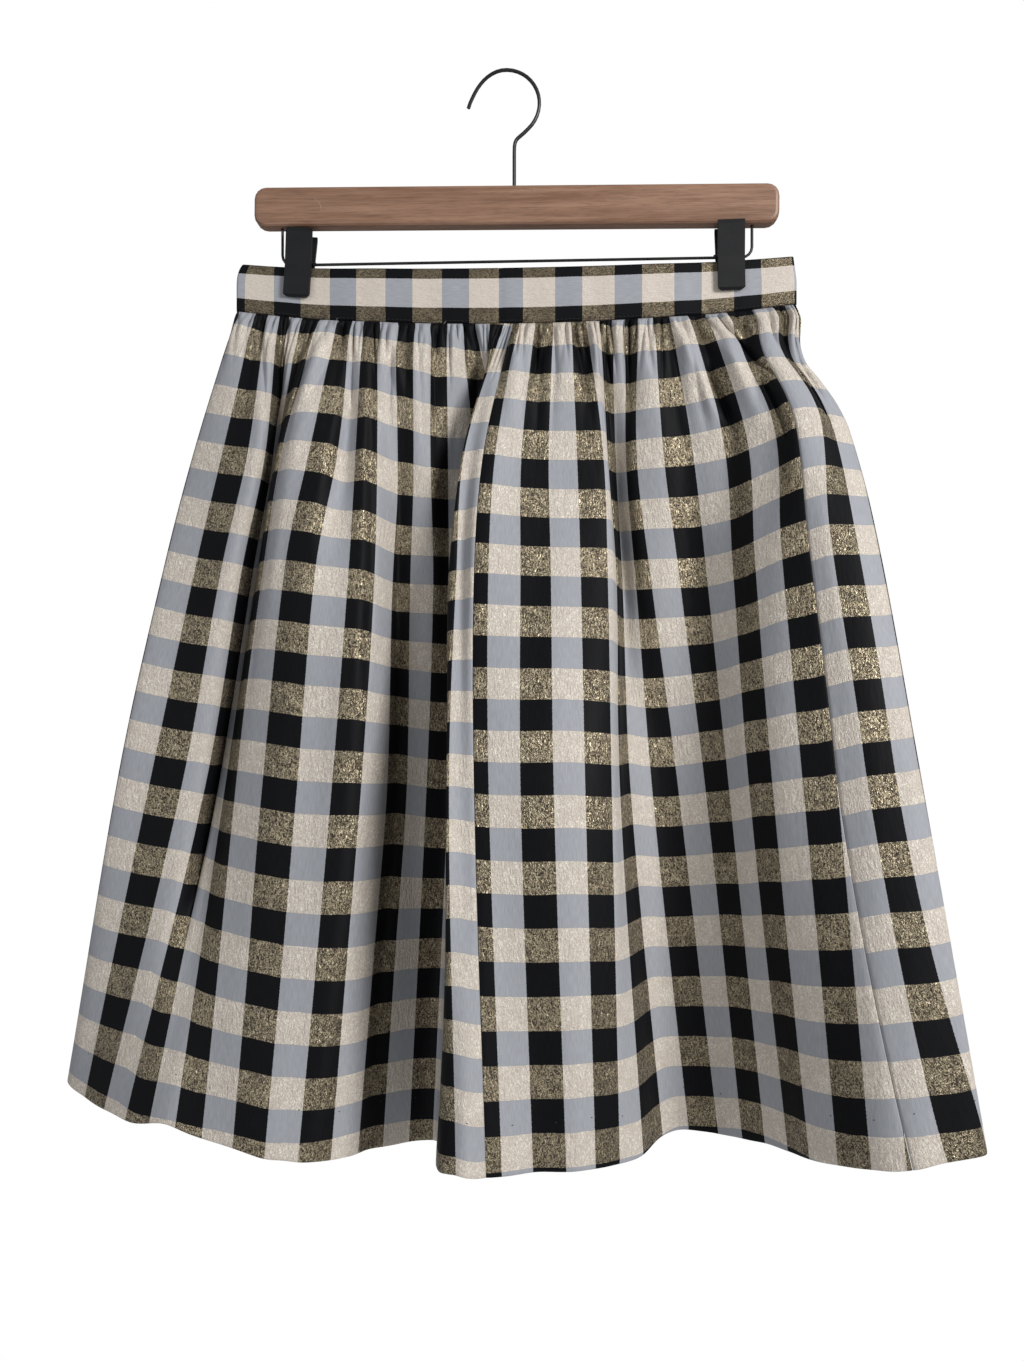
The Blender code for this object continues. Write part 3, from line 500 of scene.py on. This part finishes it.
def creases(cloth, depth):
    """Single creases: a ridge or, below zero, a furrow along a line in the cloth."""
    out = np.zeros_like(cloth)
    for top_u, top_v, low_u, low_v, width, deep in CREASES:
        share = (depth - top_v * MM) / ((low_v - top_v) * MM)
        if -CREASE_RUN_OUT < share < 1.0 + CREASE_RUN_OUT:
            middle = (top_u + (low_u - top_u) * share) * MM
            fade = smoothstep(-CREASE_RUN_OUT, CREASE_FULL[0], share)
            fade = fade * (1.0 - smoothstep(CREASE_FULL[1], 1.0 + CREASE_RUN_OUT, share))
            out = out + deep * MM * float(fade) * np.exp(-((cloth - middle) / (width * MM)) ** 2)
    return out


def drape_noise(cloth, depth):
    """Slow unevenness, below the gathers and away from the side seams."""
    shown = float(smoothstep(DRAPE_FROM, DRAPE_FULL, depth)) * side_calm(cloth, DRAPE_SEAM_CALM)
    wave = sum(strength * np.sin(2 * math.pi * (cloth / around + depth / down) + start)
               for strength, around, down, start in DRAPE_WAVES)
    return DRAPE_HEIGHT * shown * wave


def right_side_seam(depth):
    """Cloth at the right side seam, which swings out toward the hem."""
    share = max(depth - SPREAD_START, 0.0) / (SKIRT_LENGTH - SPREAD_START)
    return RIGHT_SIDE_SEAM + RIGHT_PANEL_SPREAD * share ** SPREAD_POWER


def row_depths():
    """Rows of the visible cloth: close under the waistband and at the hem, wider between."""
    rows = [row for first, last, apart in ROW_STEPS for row in np.arange(first, last, apart)]
    rows += [SKIRT_LENGTH - HEM_TURN + row for row in TURN_ROWS]
    rows += [SKIRT_LENGTH + row for row in EDGE_ROWS]
    return np.array(sorted(rows))


def panel_points(start, end, columns, rows):
    """Middle of the cloth at each row and column, with its distance along the cloth."""
    shape = (len(rows), columns)
    across, forward, lifted, cloth_at = (np.zeros(shape) for _ in range(4))
    for j, depth in enumerate(rows):
        depth = float(depth)
        cloth = np.linspace(start(depth) + 0.5 * SEAM_GAP, end(depth) - 0.5 * SEAM_GAP, columns)
        ring = ring_at(depth)
        across[j] = curve(ring[:, 0], ring[:, 1], cloth)
        forward[j] = curve(ring[:, 0], ring[:, 2], cloth)
        lifted[j] = gather(cloth, depth) + pinches(cloth, depth) + drape_noise(cloth, depth)
        lifted[j] += creases(cloth, depth)
        cloth_at[j] = cloth
    steps = np.diff(rows)[:, None]
    lean = np.diff(across, axis=0) ** 2 + np.diff(forward, axis=0) ** 2
    fall = np.sqrt(np.maximum(steps ** 2 - lean, (0.3 * steps) ** 2))
    height = np.vstack([np.zeros((1, columns)), -np.cumsum(fall, axis=0)])
    height = height + band_foot(across[0])[None, :] - SEAM_GAP
    return np.stack([across, -(forward + lifted), height], axis=-1), cloth_at


# -------------------- meshes

def surface_normals(points):
    """Outward normals of a grid; level along the waistband seam, so that the edges stay under the band."""
    down, side = np.gradient(points, axis=0), np.gradient(points, axis=1)
    normal = np.cross(down, side)
    normal[0, :, 2] = 0.0
    return normal / np.maximum(np.linalg.norm(normal, axis=-1, keepdims=True), 1e-9)


def simple_object(name, points, faces, finish, smooth=True):
    """Object from points and faces in one finish."""
    mesh = bpy.data.meshes.new(name)
    mesh.from_pydata([tuple(point) for point in points], [], faces)
    mesh.materials.append(finish)
    if smooth:
        mesh.shade_smooth()
    mesh.update()
    made = bpy.data.objects.new(name, mesh)
    bpy.context.collection.objects.link(made)
    return made


def shell_object(name, outer, inner, uv, finish):
    """Closed shell between two grids of points [row, column], shaded smooth, with its UVs."""
    rows, columns = outer.shape[:2]
    index = np.arange(rows * columns).reshape(rows, columns)
    a, b = index[:-1, :-1].ravel(), index[:-1, 1:].ravel()
    c, d = index[1:, 1:].ravel(), index[1:, :-1].ravel()
    shift = rows * columns
    front = np.stack([a, d, c, b], axis=1)
    back = np.stack([a, b, c, d], axis=1) + shift
    rim = np.concatenate([index[0, :], index[1:, -1], index[-1, -2::-1], index[-2:0:-1, 0]])
    after = np.roll(rim, -1)
    edge = np.stack([rim, after, after + shift, rim + shift], axis=1)
    faces = np.concatenate([front, back, edge])
    points = np.concatenate([outer.reshape(-1, 3), inner.reshape(-1, 3)])
    made = simple_object(name, points.tolist(), faces.tolist(), finish)
    both = np.concatenate([uv.reshape(-1, 2), uv.reshape(-1, 2)])
    layer = made.data.uv_layers.new(name="cloth")
    layer.data.foreach_set("uv", both[faces.ravel()].astype(np.float32).ravel())
    return made


# -------------------- materials

class Graph:
    """A material's node tree, with short ways to add and join nodes."""

    def __init__(self, name):
        self.material = bpy.data.materials.new(name)
        self.material.use_nodes = True
        self.tree = self.material.node_tree
        self.shader = self.tree.nodes["Principled BSDF"]

    def add(self, kind, inputs=None, **settings):
        made = self.tree.nodes.new(kind)
        for name, value in settings.items():
            setattr(made, name, value)
        for name, value in (inputs or {}).items():
            self.put(made.inputs[name], value)
        return made

    def put(self, socket, value):
        if isinstance(value, bpy.types.NodeSocket):
            self.tree.links.new(value, socket)
        else:
            socket.default_value = value

    def math(self, operation, a, b=0.0, c=0.0):
        made = self.add("ShaderNodeMath", {0: a, 1: b, 2: c}, operation=operation)
        return made.outputs[0]

    def plus(self, a, b):
        return self.math("ADD", a, b)

    def minus(self, a, b):
        return self.math("SUBTRACT", a, b)

    def times(self, a, b):
        return self.math("MULTIPLY", a, b)

    def scaled(self, value, by, start):
        return self.math("MULTIPLY_ADD", value, by, start)

    def mix(self, share, a, b, way="MIX"):
        made = self.add("ShaderNodeMix", data_type="RGBA", blend_type=way)
        self.put(made.inputs[0], share)
        self.put(made.inputs[6], a)
        self.put(made.inputs[7], b)
        return made.outputs[2]

    def ramp(self, value, stops):
        made = self.add("ShaderNodeValToRGB", {"Fac": value})
        elements = made.color_ramp.elements
        while len(elements) < len(stops):
            elements.new(0.5)
        for element, (place, colour) in zip(elements, stops):
            element.position = place
            element.color = colour
        return made.outputs["Color"]

    def noise(self, vector, scale, detail=2.0, roughness=0.5, distortion=0.0):
        made = self.add("ShaderNodeTexNoise", {"Vector": vector, "Scale": scale, "Detail": detail,
                                               "Roughness": roughness, "Distortion": distortion})
        return made.outputs["Fac"]

    def fibres(self, vector, scales, detail=2.0, roughness=0.5, distortion=0.0):
        """Noise with a scale of its own along each axis."""
        made = self.add("ShaderNodeMapping", {"Vector": vector, "Scale": scales})
        return self.noise(made.outputs[0], 1.0, detail, roughness, distortion)

    def place(self):
        return self.add("ShaderNodeTexCoord").outputs["Object"]

    def bump(self, strength, distance, height):
        made = self.add("ShaderNodeBump", {"Strength": strength, "Distance": distance, "Height": height})
        return made.outputs[0]

    def finish(self, **inputs):
        names = {"colour": "Base Color", "roughness": "Roughness", "metallic": "Metallic",
                 "bump": "Normal", "specular": "Specular IOR Level",
                 "sheen": "Sheen Weight", "sheen_roughness": "Sheen Roughness",
                 "coat": "Coat Weight", "coat_roughness": "Coat Roughness"}
        for name, value in inputs.items():
            self.put(self.shader.inputs[names[name]], value)
        return self.material


def grey(value):
    """Neutral colour of one brightness."""
    return (value, value, value, 1.0)


def check_cloth(name, liveliness, gold_share):
    """Woven check: plain rows in grey and black, glitter rows in cream and black shot with gold."""
    g = Graph(name)
    uv = g.add("ShaderNodeUVMap", uv_map="cloth").outputs[0]
    split = g.add("ShaderNodeSeparateXYZ", {0: uv})
    column, row = split.outputs[0], split.outputs[1]
    serrated = g.times(g.minus(g.fibres(uv, (3.0, 19.0, 1.0), 3.0), 0.5), 0.055)
    waver = g.times(g.minus(g.noise(uv, 4.0, 2.0), 0.5), 0.030)
    in_column = g.math("FRACT", g.times(g.plus(column, serrated), 0.5))
    in_row = g.math("FRACT", g.times(g.plus(row, waver), 0.5))
    light = g.math("LESS_THAN", in_column, 0.5)
    glitter = g.math("GREATER_THAN", in_row, 0.5)

    # the glitter rows shrink into upright ripples; the metal thread runs over them in short squiggles
    ripple = g.fibres(uv, (9.5, 3.3, 1.0), 2.0, 0.5, 0.9)
    field = g.fibres(uv, (17.5, 10.5, 1.0), 2.0, 0.55, 1.0)
    squiggle = g.scaled(g.math("SINE", g.times(field, 25.0)), 0.5, 0.5)
    grain = g.fibres(uv, (46.0, 30.0, 1.0), 2.0, 0.7)
    mark = g.plus(g.times(squiggle, 0.66), g.times(grain, 0.34))
    patch = g.noise(uv, 2.3, 2.0)
    mark = g.plus(mark, g.times(g.minus(patch, 0.5), 0.35))
    mark = g.scaled(g.minus(mark, 0.5), liveliness, 0.5)

    tones = ((0.22, (0.032, 0.025, 0.018)), (0.44, (0.100, 0.078, 0.051)),
             (0.64, (0.300, 0.246, 0.166)), (0.88, (0.660, 0.570, 0.400)))
    gold = g.ramp(mark, [(at, tuple(gold_share * part for part in tone) + (1,)) for at, tone in tones])
    cream = g.ramp(mark, [(0.20, (0.560, 0.490, 0.430, 1)), (0.45, (0.655, 0.585, 0.525, 1)),
                          (0.70, (0.700, 0.635, 0.565, 1)), (0.88, (0.930, 0.890, 0.780, 1))])
    thread = g.fibres(uv, (34.0, 3.0, 1.0), 2.0)
    plain = g.ramp(thread, [(0.30, (0.305, 0.318, 0.352, 1)), (0.70, (0.374, 0.389, 0.428, 1))])
    black = g.ramp(thread, [(0.30, (0.0018, 0.0020, 0.0030, 1)), (0.70, (0.0042, 0.0047, 0.0065, 1))])
    colour = g.mix(glitter, g.mix(light, black, plain), g.mix(light, gold, cream))

    relief = g.plus(g.times(ripple, 1.5), g.times(squiggle, 0.16))
    relief = g.times(relief, glitter)
    smooth_wave = g.fibres(uv, (5.0, 1.1, 1.0), 1.0)
    relief = g.plus(relief, g.times(smooth_wave, 0.30))
    relief = g.plus(relief, g.times(thread, 0.05))
    bump = g.bump(0.85 * liveliness, 0.0009, relief)

    dark_glitter = g.times(glitter, g.minus(1.0, light))
    shown = g.ramp(mark, [(0.30, grey(0.35)), (0.60, grey(1.0))])
    metal = g.times(shown, g.scaled(dark_glitter, 0.64, g.times(glitter, 0.10)))
    rough = g.minus(0.60, g.times(metal, 0.30))
    lit = g.math("MAXIMUM", glitter, light)
    return g.finish(colour=colour, roughness=rough, metallic=metal, bump=bump,
                    specular=g.scaled(lit, 0.18, 0.12),
                    sheen=g.scaled(lit, 0.07, 0.01), sheen_roughness=0.45)


def bar_wood():
    """Stained wood with long fine grain along the bar."""
    g = Graph("stained_bar_wood")
    place = g.place()
    band = g.fibres(place, (5.0, 40.0, 55.0), 3.0, 0.55, 0.8)
    grain = g.fibres(place, (16.0, 220.0, 420.0), 4.0, 0.65, 0.3)
    pores = g.fibres(place, (90.0, 900.0, 1500.0), 2.0, 0.5)
    marks = g.plus(g.times(band, 0.5), g.times(grain, 0.5))
    colour = g.ramp(marks, [(0.34, (0.185, 0.090, 0.052, 1)), (0.50, (0.285, 0.155, 0.098, 1)),
                            (0.66, (0.370, 0.215, 0.142, 1))])
    dark = g.ramp(pores, [(0.36, grey(0.62)), (0.48, grey(1.0))])
    colour = g.mix(0.55, colour, dark, "MULTIPLY")
    height = g.plus(g.times(grain, 0.6), g.times(pores, 0.4))
    bump = g.bump(0.25, 0.0004, height)
    rough = g.plus(0.38, g.times(grain, 0.22))
    return g.finish(colour=colour, roughness=rough, bump=bump, coat=0.10, coat_roughness=0.3)


def black_wire():
    """Coated steel, a little worn."""
    g = Graph("black_coated_wire")
    place = g.place()
    wear = g.noise(place, 140.0, 3.0, 0.6)
    colour = g.ramp(wear, [(0.35, (0.006, 0.006, 0.007, 1)), (0.70, (0.014, 0.014, 0.014, 1))])
    rough = g.plus(0.30, g.times(wear, 0.20))
    bump = g.bump(0.2, 0.0002, wear)
    return g.finish(colour=colour, roughness=rough, bump=bump, specular=0.5)


def clip_plastic():
    """Matte black plastic with fine grain and a trace of dust."""
    g = Graph("black_clip_plastic")
    place = g.place()
    grainy = g.noise(place, 900.0, 2.0, 0.6)
    dusty = g.noise(place, 60.0, 3.0, 0.6)
    colour = g.ramp(dusty, [(0.35, (0.0050, 0.0054, 0.0068, 1)), (0.72, (0.0090, 0.0095, 0.0115, 1))])
    rough = g.plus(0.42, g.times(dusty, 0.25))
    bump = g.bump(0.25, 0.0002, grainy)
    return g.finish(colour=colour, roughness=rough, bump=bump, specular=0.30)


def thread_finish(name, colour):
    """Twisted sewing thread."""
    g = Graph(name)
    place = g.place()
    twist = g.noise(place, 2200.0, 2.0)
    darker = tuple(0.7 * value for value in colour[:3]) + (1.0,)
    bump = g.bump(0.4, 0.0001, twist)
    return g.finish(colour=g.ramp(twist, [(0.3, darker), (0.7, colour)]), roughness=0.7, bump=bump)


# -------------------- the skirt

CLOTH = check_cloth("woven_check", 1.0, 1.0)
BAND_CLOTH = check_cloth("woven_check_pressed", 0.55, 0.80)   # the band lies flat and smooth
ROWS = row_depths()
SURFACES = {}                 # cloth and outer points of each finished panel, for what lies on it


def cloth_faces(points, rows):
    """Outer and inner face of a panel: seam edges roll in, the hem is turned up inside."""
    normal = surface_normals(points)
    turn = SKIRT_LENGTH - HEM_TURN
    roll = np.ones(len(rows))
    roll[-3:] = HEM_ROLL
    out = CLOTH_OUT * roll
    into = (CLOTH_IN + HEM_THICKER * smoothstep(turn - HEM_STEP, turn + HEM_STEP, rows)) * roll
    along = np.linalg.norm(np.diff(points, axis=1), axis=-1)
    left = np.concatenate([np.zeros((len(rows), 1)), np.cumsum(along, axis=1)], axis=1)
    right = left[:, -1:] - left
    dip = SEAM_DIP * np.exp(-(np.minimum(left, right) / SEAM_DIP_REACH) ** 2)
    points = points - normal * dip[..., None]
    return points + normal * out[:, None, None], points - normal * into[:, None, None]


def check_places(node, cloth):
    """UVs counted in checks: light columns and plain rows start at even numbers."""
    first_column, first_row = CHECK_STARTS[node]
    table = PHASES[node]
    places = [line[0] * MM for line in table]
    row = np.zeros_like(cloth)
    for j, depth in enumerate(ROWS):
        late = [float(curve(PHASE_DEPTHS, line[1:], depth)) * MM for line in table]
        row[j] = (depth - first_row - np.interp(cloth[j], places, late)) / CHECK
    seam = np.array([right_side_seam(float(depth)) for depth in ROWS])[:, None]
    start = seam if first_column is None else first_column
    return np.stack([(cloth - start) / CHECK, row], axis=-1)


def on_cloth(node, cloth, depth, sunk):
    """Place a little under the outside of a panel, with the way along the row and the way out."""
    cloths, outer = SURFACES[node]
    row = float(np.interp(depth, ROWS, np.arange(len(ROWS))))
    j = min(int(row), len(ROWS) - 2)
    column = float(np.interp(cloth, cloths[j], np.arange(cloths.shape[1])))
    i = min(int(column), cloths.shape[1] - 2)
    a, b = row - j, column - i
    upper = outer[j, i] * (1 - b) + outer[j, i + 1] * b
    lower = outer[j + 1, i] * (1 - b) + outer[j + 1, i + 1] * b
    along, down = outer[j, i + 1] - outer[j, i], outer[j + 1, i] - outer[j, i]
    facing = Vector(np.cross(down, along)).normalized()
    return Vector(upper * (1 - a) + lower * a) - facing * sunk, Vector(along).normalized(), facing


def skirt_panel(name, node, start, end, columns):
    """One panel, between the cloth lines that start and end give for each depth."""
    points, cloth = panel_points(start, end, columns, ROWS)
    outer, inner = cloth_faces(points, ROWS)
    uv = check_places(node, cloth)
    SURFACES[node] = (cloth, outer)
    made = shell_object(name, outer, inner, uv, CLOTH)
    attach(made, "root")
    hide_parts(node)


skirt_panel("cloth_front_left", "skirt_front_left", lambda depth: LEFT_SIDE_SEAM, lambda depth: 0.0,
            FRONT_LEFT_COLUMNS)
skirt_panel("cloth_front_right", "skirt_front_right", lambda depth: 0.0, right_side_seam,
            FRONT_RIGHT_COLUMNS)
skirt_panel("cloth_back", "skirt_back", right_side_seam, lambda depth: LEFT_SIDE_SEAM + HEM_ROUND,
            BACK_COLUMNS)


# -------------------- the waistband

def band_check(across):
    """Checks counted along the band; odd numbers are glitter. It starts afresh at the band's seam."""
    sides = []
    for first, both, share, extra in BAND_CHECKS:
        pair = (across - first) / both
        whole = np.floor(pair)
        part = pair - whole
        inside = np.where(part < share, part / share, 1.0 + (part - share) / (1.0 - share))
        sides.append(2.0 * whole + 1.0 + inside + extra)
    return np.where(across < BAND_SEAM, *sides)


def band_section(side):
    """Seen from above, round ends and all: across outside and inside, forward outside and inside."""
    near = 0.5 * SEAM_GAP
    across = np.linspace(BAND_LEFT, BAND_RIGHT, BAND_COLUMNS)
    middle = band_forward(across) if side > 0 else np.full_like(across, BAND_FORWARD)
    outer, inner = middle + 0.5 * BAND_THICKNESS, middle - 0.5 * BAND_THICKNESS
    turn = np.radians(np.linspace(*END_TURN, END_COLUMNS))
    out, up = BAND_THICKNESS * np.cos(turn), near + BAND_THICKNESS * np.sin(turn)
    inner_out, level = END_INNER_SHARE * out, np.full(END_COLUMNS, near)
    return (np.concatenate([BAND_LEFT - out, across, (BAND_RIGHT + out)[::-1]]),
            np.concatenate([BAND_LEFT - inner_out, across, (BAND_RIGHT + inner_out)[::-1]]),
            np.concatenate([up, outer, up[::-1]]),
            np.concatenate([level, inner, level]))


def band_relief(across, share):
    """Soft puffs of the folded band, and the groove where its two lengths are joined."""
    wave = sum(strength * np.sin(2 * math.pi * across / length + start)
               for strength, length, start in BAND_WAVES)
    groove = BAND_SEAM_DEPTH * np.exp(-((across - BAND_SEAM) / BAND_SEAM_HALF) ** 2)
    return BAND_PUFF * wave * np.sin(math.pi * share) - groove


def band_slant(across, share):
    """How far the top corners lean in, down to half the height."""
    upper = np.maximum(1.0 - 2.0 * share, 0.0)
    left = LEFT_CORNER_SLANT * upper ** 3 * smoothstep(LEFT_CORNER_FROM, BAND_LEFT, across)
    return left - RIGHT_CORNER_SLANT * upper * smoothstep(RIGHT_CORNER_FROM, BAND_RIGHT, across)


def band_layer(name, node, side):
    """One layer of the folded band: side is 1 for the front and -1 for the back."""
    across_out, across_in, outer, inner = band_section(side)
    share, fullness = (np.array(column)[:, None] for column in zip(*BAND_ROWS))
    top, foot = band_top(across_out), band_foot(across_out)
    height = top + (foot - top) * share
    centre, half = 0.5 * (outer + inner), 0.5 * (outer - inner) * fullness
    outside = centre + half - BAND_SET_IN + band_relief(across_out, share)
    slant = band_slant(across_out, share)
    front = np.stack([across_out + slant, -side * outside, height], axis=-1)
    rear = np.stack([across_in + slant, -side * (centre - half), height], axis=-1)
    light = (share - BAND_LIGHT_TOP) / BAND_LIGHT_SHARE
    uv = np.stack(np.broadcast_arrays(light, band_check(across_out)), axis=-1)
    if side < 0:
        front, rear, uv = front[:, ::-1], rear[:, ::-1], uv[:, ::-1]
    made = shell_object(name, front, rear, uv, BAND_CLOTH)
    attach(made, "root")
    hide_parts(node)


band_layer("band_cloth_front", "waistband_front", 1.0)
band_layer("band_cloth_back", "waistband_back", -1.0)


# -------------------- stitches, thread ends and marks

def beads(name, places, half, finish):
    """Small rounded lumps, each at a place with its own long way and facing."""
    points, faces = [], []
    around, along = BEAD_SIDES, BEAD_STEPS
    for middle, way, facing in places:
        side = way.cross(facing).normalized()
        first = len(points)
        points.append(middle - way * half[0])
        for i in range(1, along):
            turn = math.pi * i / along
            for k in range(around):
                angle = 2 * math.pi * k / around
                lift = (side * math.cos(angle) + facing * math.sin(angle)) * half[1] * math.sin(turn)
                points.append(middle - way * half[0] * math.cos(turn) + lift)
        points.append(middle + way * half[0])
        last = len(points) - 1
        for k in range(around):
            after = (k + 1) % around
            faces.append((first, first + 1 + after, first + 1 + k))
            faces.append((last, last - around + k, last - around + after))
            for i in range(along - 2):
                low = first + 1 + i * around
                faces.append((low + k, low + after, low + around + after, low + around + k))
    made = simple_object(name, points, faces, finish)
    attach(made, "root")


def thin_thread(name, paths, radius, finish):
    """Fine threads along given points."""
    points, faces = [], []
    around = THREAD_SIDES
    for path in paths:
        path = [Vector(point) for point in path]
        first = len(points)
        for i, middle in enumerate(path):
            way = (path[min(i + 1, len(path) - 1)] - path[max(i - 1, 0)]).normalized()
            side = way.cross(Vector((0.0, 1.0, 0.0))).normalized()
            up = way.cross(side)
            for k in range(around):
                angle = 2 * math.pi * k / around
                points.append(middle + radius * (math.cos(angle) * side + math.sin(angle) * up))
        last = first + around * (len(path) - 1)
        for ring in range(first, last, around):
            for k in range(around):
                a, b = ring + k, ring + (k + 1) % around
                faces.append((a, b, b + around, a + around))
        faces.append(tuple(range(first, first + around))[::-1])
        faces.append(tuple(range(last, last + around)))
    made = simple_object(name, points, faces, finish)
    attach(made, "root")


DARK_THREAD = thread_finish("dark_sewing_thread", (0.028, 0.026, 0.024, 1.0))
PALE_THREAD = thread_finish("pale_loose_thread", (0.52, 0.48, 0.42, 1.0))


def edge_stitches():
    """Row of stitches along the lower edge of the band's front."""
    places = []
    across = BAND_LEFT + EDGE_STITCH_END
    while across < BAND_RIGHT - EDGE_STITCH_END:
        wander = sum(strength * math.sin(across * pace + start)
                     for strength, pace, start in EDGE_STITCH_WANDER)
        height = float(band_foot(across)) + EDGE_STITCH_RISE + wander
        slope = float(band_foot(across + MM) - band_foot(across)) / MM
        tilt = EDGE_STITCH_TILT * math.sin(across * EDGE_STITCH_PACE)
        middle = Vector((across, -(float(band_forward(across)) + EDGE_STITCH_OUT), height))
        places.append((middle, Vector((1.0, 0.0, slope + tilt)).normalized(), Vector((0.0, -1.0, 0.0))))
        across += STITCH_STEP
    beads("band_edge_stitches", places, (0.5 * STITCH_LENGTH, STITCH_HALF_WIDTH), DARK_THREAD)


def hem_stitches():
    """Small blind stitches that catch the turned-up hem, all the way round."""
    chance = random.Random(HEM_STITCH_SEED)
    places = []
    cloth = LEFT_SIDE_SEAM + HEM_STITCH_FIRST
    while cloth < LEFT_SIDE_SEAM + HEM_ROUND - HEM_STITCH_LAST:
        depth = SKIRT_LENGTH - HEM_STITCH_RISE + chance.uniform(-HEM_STITCH_WANDER, HEM_STITCH_WANDER)
        side_seam = right_side_seam(depth)
        front = "skirt_front_left" if cloth < 0.0 else "skirt_front_right"
        node = front if cloth < side_seam else "skirt_back"
        if min(abs(cloth), abs(cloth - side_seam)) > HEM_STITCH_CLEAR:
            places.append(on_cloth(node, cloth, depth, HEM_STITCH_SUNK))
        cloth += HEM_STITCH_STEP * chance.uniform(*HEM_STITCH_STEPS)
    beads("hem_stitches", places, HEM_STITCH_HALF, DARK_THREAD)


def loose_threads():
    """Thread ends that stand out under the band."""
    paths = []
    for across, length, drift, curl in THREAD_ENDS:
        forward, height = float(band_forward(across)) + THREAD_OUT, float(band_foot(across)) + THREAD_RISE
        path = []
        for i in range(THREAD_STEPS + 1):
            t = i / THREAD_STEPS
            aside = drift * t + curl * math.sin(math.pi * t)
            reach = THREAD_REACH * t + THREAD_BOW * math.sin(THREAD_BEND * t)
            path.append((across + aside, -forward - reach, height - length * t))
        paths.append(path)
    thin_thread("loose_thread_ends", paths, THREAD_RADIUS, PALE_THREAD)


def bar_marks():
    """Pale scratches on the front of the wooden bar."""
    marks = [[(across, inward - 0.5 * BAR_DEPTH, height) for across, inward, height in scratch]
             for scratch in BAR_SCRATCHES]
    g = Graph("pale_scratch")
    place = g.place()
    patchy = g.noise(place, 700.0, 2.0)
    finish = g.finish(colour=g.ramp(patchy, [(0.35, (0.36, 0.26, 0.21, 1)), (0.65, (0.55, 0.46, 0.41, 1))]),
                      roughness=0.6)
    thin_thread("bar_scratches", marks, SCRATCH_RADIUS, finish)


edge_stitches()
hem_stitches()
loose_threads()
bar_marks()


# -------------------- the hanger

def dress(nodes, finish):
    """Gives solids their finish; their shape stays as packed."""
    for name in nodes:
        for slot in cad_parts[name].material_slots:
            slot.material = finish


dress(["hanger_bar"], bar_wood())
dress(["hanger_hook", "clip_wire", "clip_spring_left", "clip_spring_right"], black_wire())
dress(["clip_jaw_front_left", "clip_jaw_back_left", "clip_jaw_front_right", "clip_jaw_back_right"],
      clip_plastic())


# -------------------- floor, light and camera

def floor():
    """Pale floor far below the hem."""
    g = Graph("pale_floor")
    place = g.place()
    soft = g.noise(place, 3.0, 2.0)
    material = g.finish(colour=g.ramp(soft, [(0.3, grey(0.86)), (0.7, grey(0.90))]), roughness=0.9)
    sides = ((-1, -1), (1, -1), (1, 1), (-1, 1))
    corners = [(x * FLOOR_HALF, y * FLOOR_HALF, FLOOR_HEIGHT) for x, y in sides]
    made = simple_object("pale_floor", corners, [(0, 1, 2, 3)], material, smooth=False)


def light(name, place, aim, size, power, colour):
    """One soft rectangular lamp, turned to what it points at."""
    lamp = bpy.data.lights.new(name, "AREA")
    lamp.shape = "RECTANGLE"
    lamp.size, lamp.size_y = size
    lamp.energy = power
    lamp.color = colour
    made = bpy.data.objects.new(name, lamp)
    made.location = place
    made.rotation_euler = (Vector(aim) - Vector(place)).to_track_quat("-Z", "Y").to_euler()
    bpy.context.collection.objects.link(made)


def studio():
    """White all round behind the skirt, one large soft window in front to the right, a weak fill."""
    floor()
    world = bpy.data.worlds.new("soft_studio")
    world.use_nodes = True
    tree = world.node_tree
    rays = tree.nodes.new("ShaderNodeLightPath")
    strength = tree.nodes.new("ShaderNodeMapRange")
    strength.inputs["To Min"].default_value = ROOM_LIGHT
    strength.inputs["To Max"].default_value = BACKDROP_LIGHT
    tree.links.new(rays.outputs["Is Camera Ray"], strength.inputs["Value"])
    background = tree.nodes["Background"]
    background.inputs["Color"].default_value = grey(1.0)
    tree.links.new(strength.outputs["Result"], background.inputs["Strength"])
    bpy.context.scene.world = world
    bpy.context.scene.view_settings.view_transform = "Standard"
    for values in LIGHTS:
        light(*values)


def camera():
    """The photo's view."""
    lens = bpy.data.cameras.new("photo_camera")
    lens.sensor_fit = "VERTICAL"
    lens.sensor_height = CAMERA_SENSOR
    lens.lens = CAMERA_LENS
    made = bpy.data.objects.new("photo_camera", lens)
    made.location = (CAMERA_ACROSS + CAMERA_AWAY * math.sin(CAMERA_TURN),
                     -CAMERA_AWAY * math.cos(CAMERA_TURN), CAMERA_HEIGHT)
    made.rotation_euler = (math.radians(90.0), 0.0, CAMERA_TURN)
    bpy.context.collection.objects.link(made)
    bpy.context.scene.camera = made


studio()
camera()
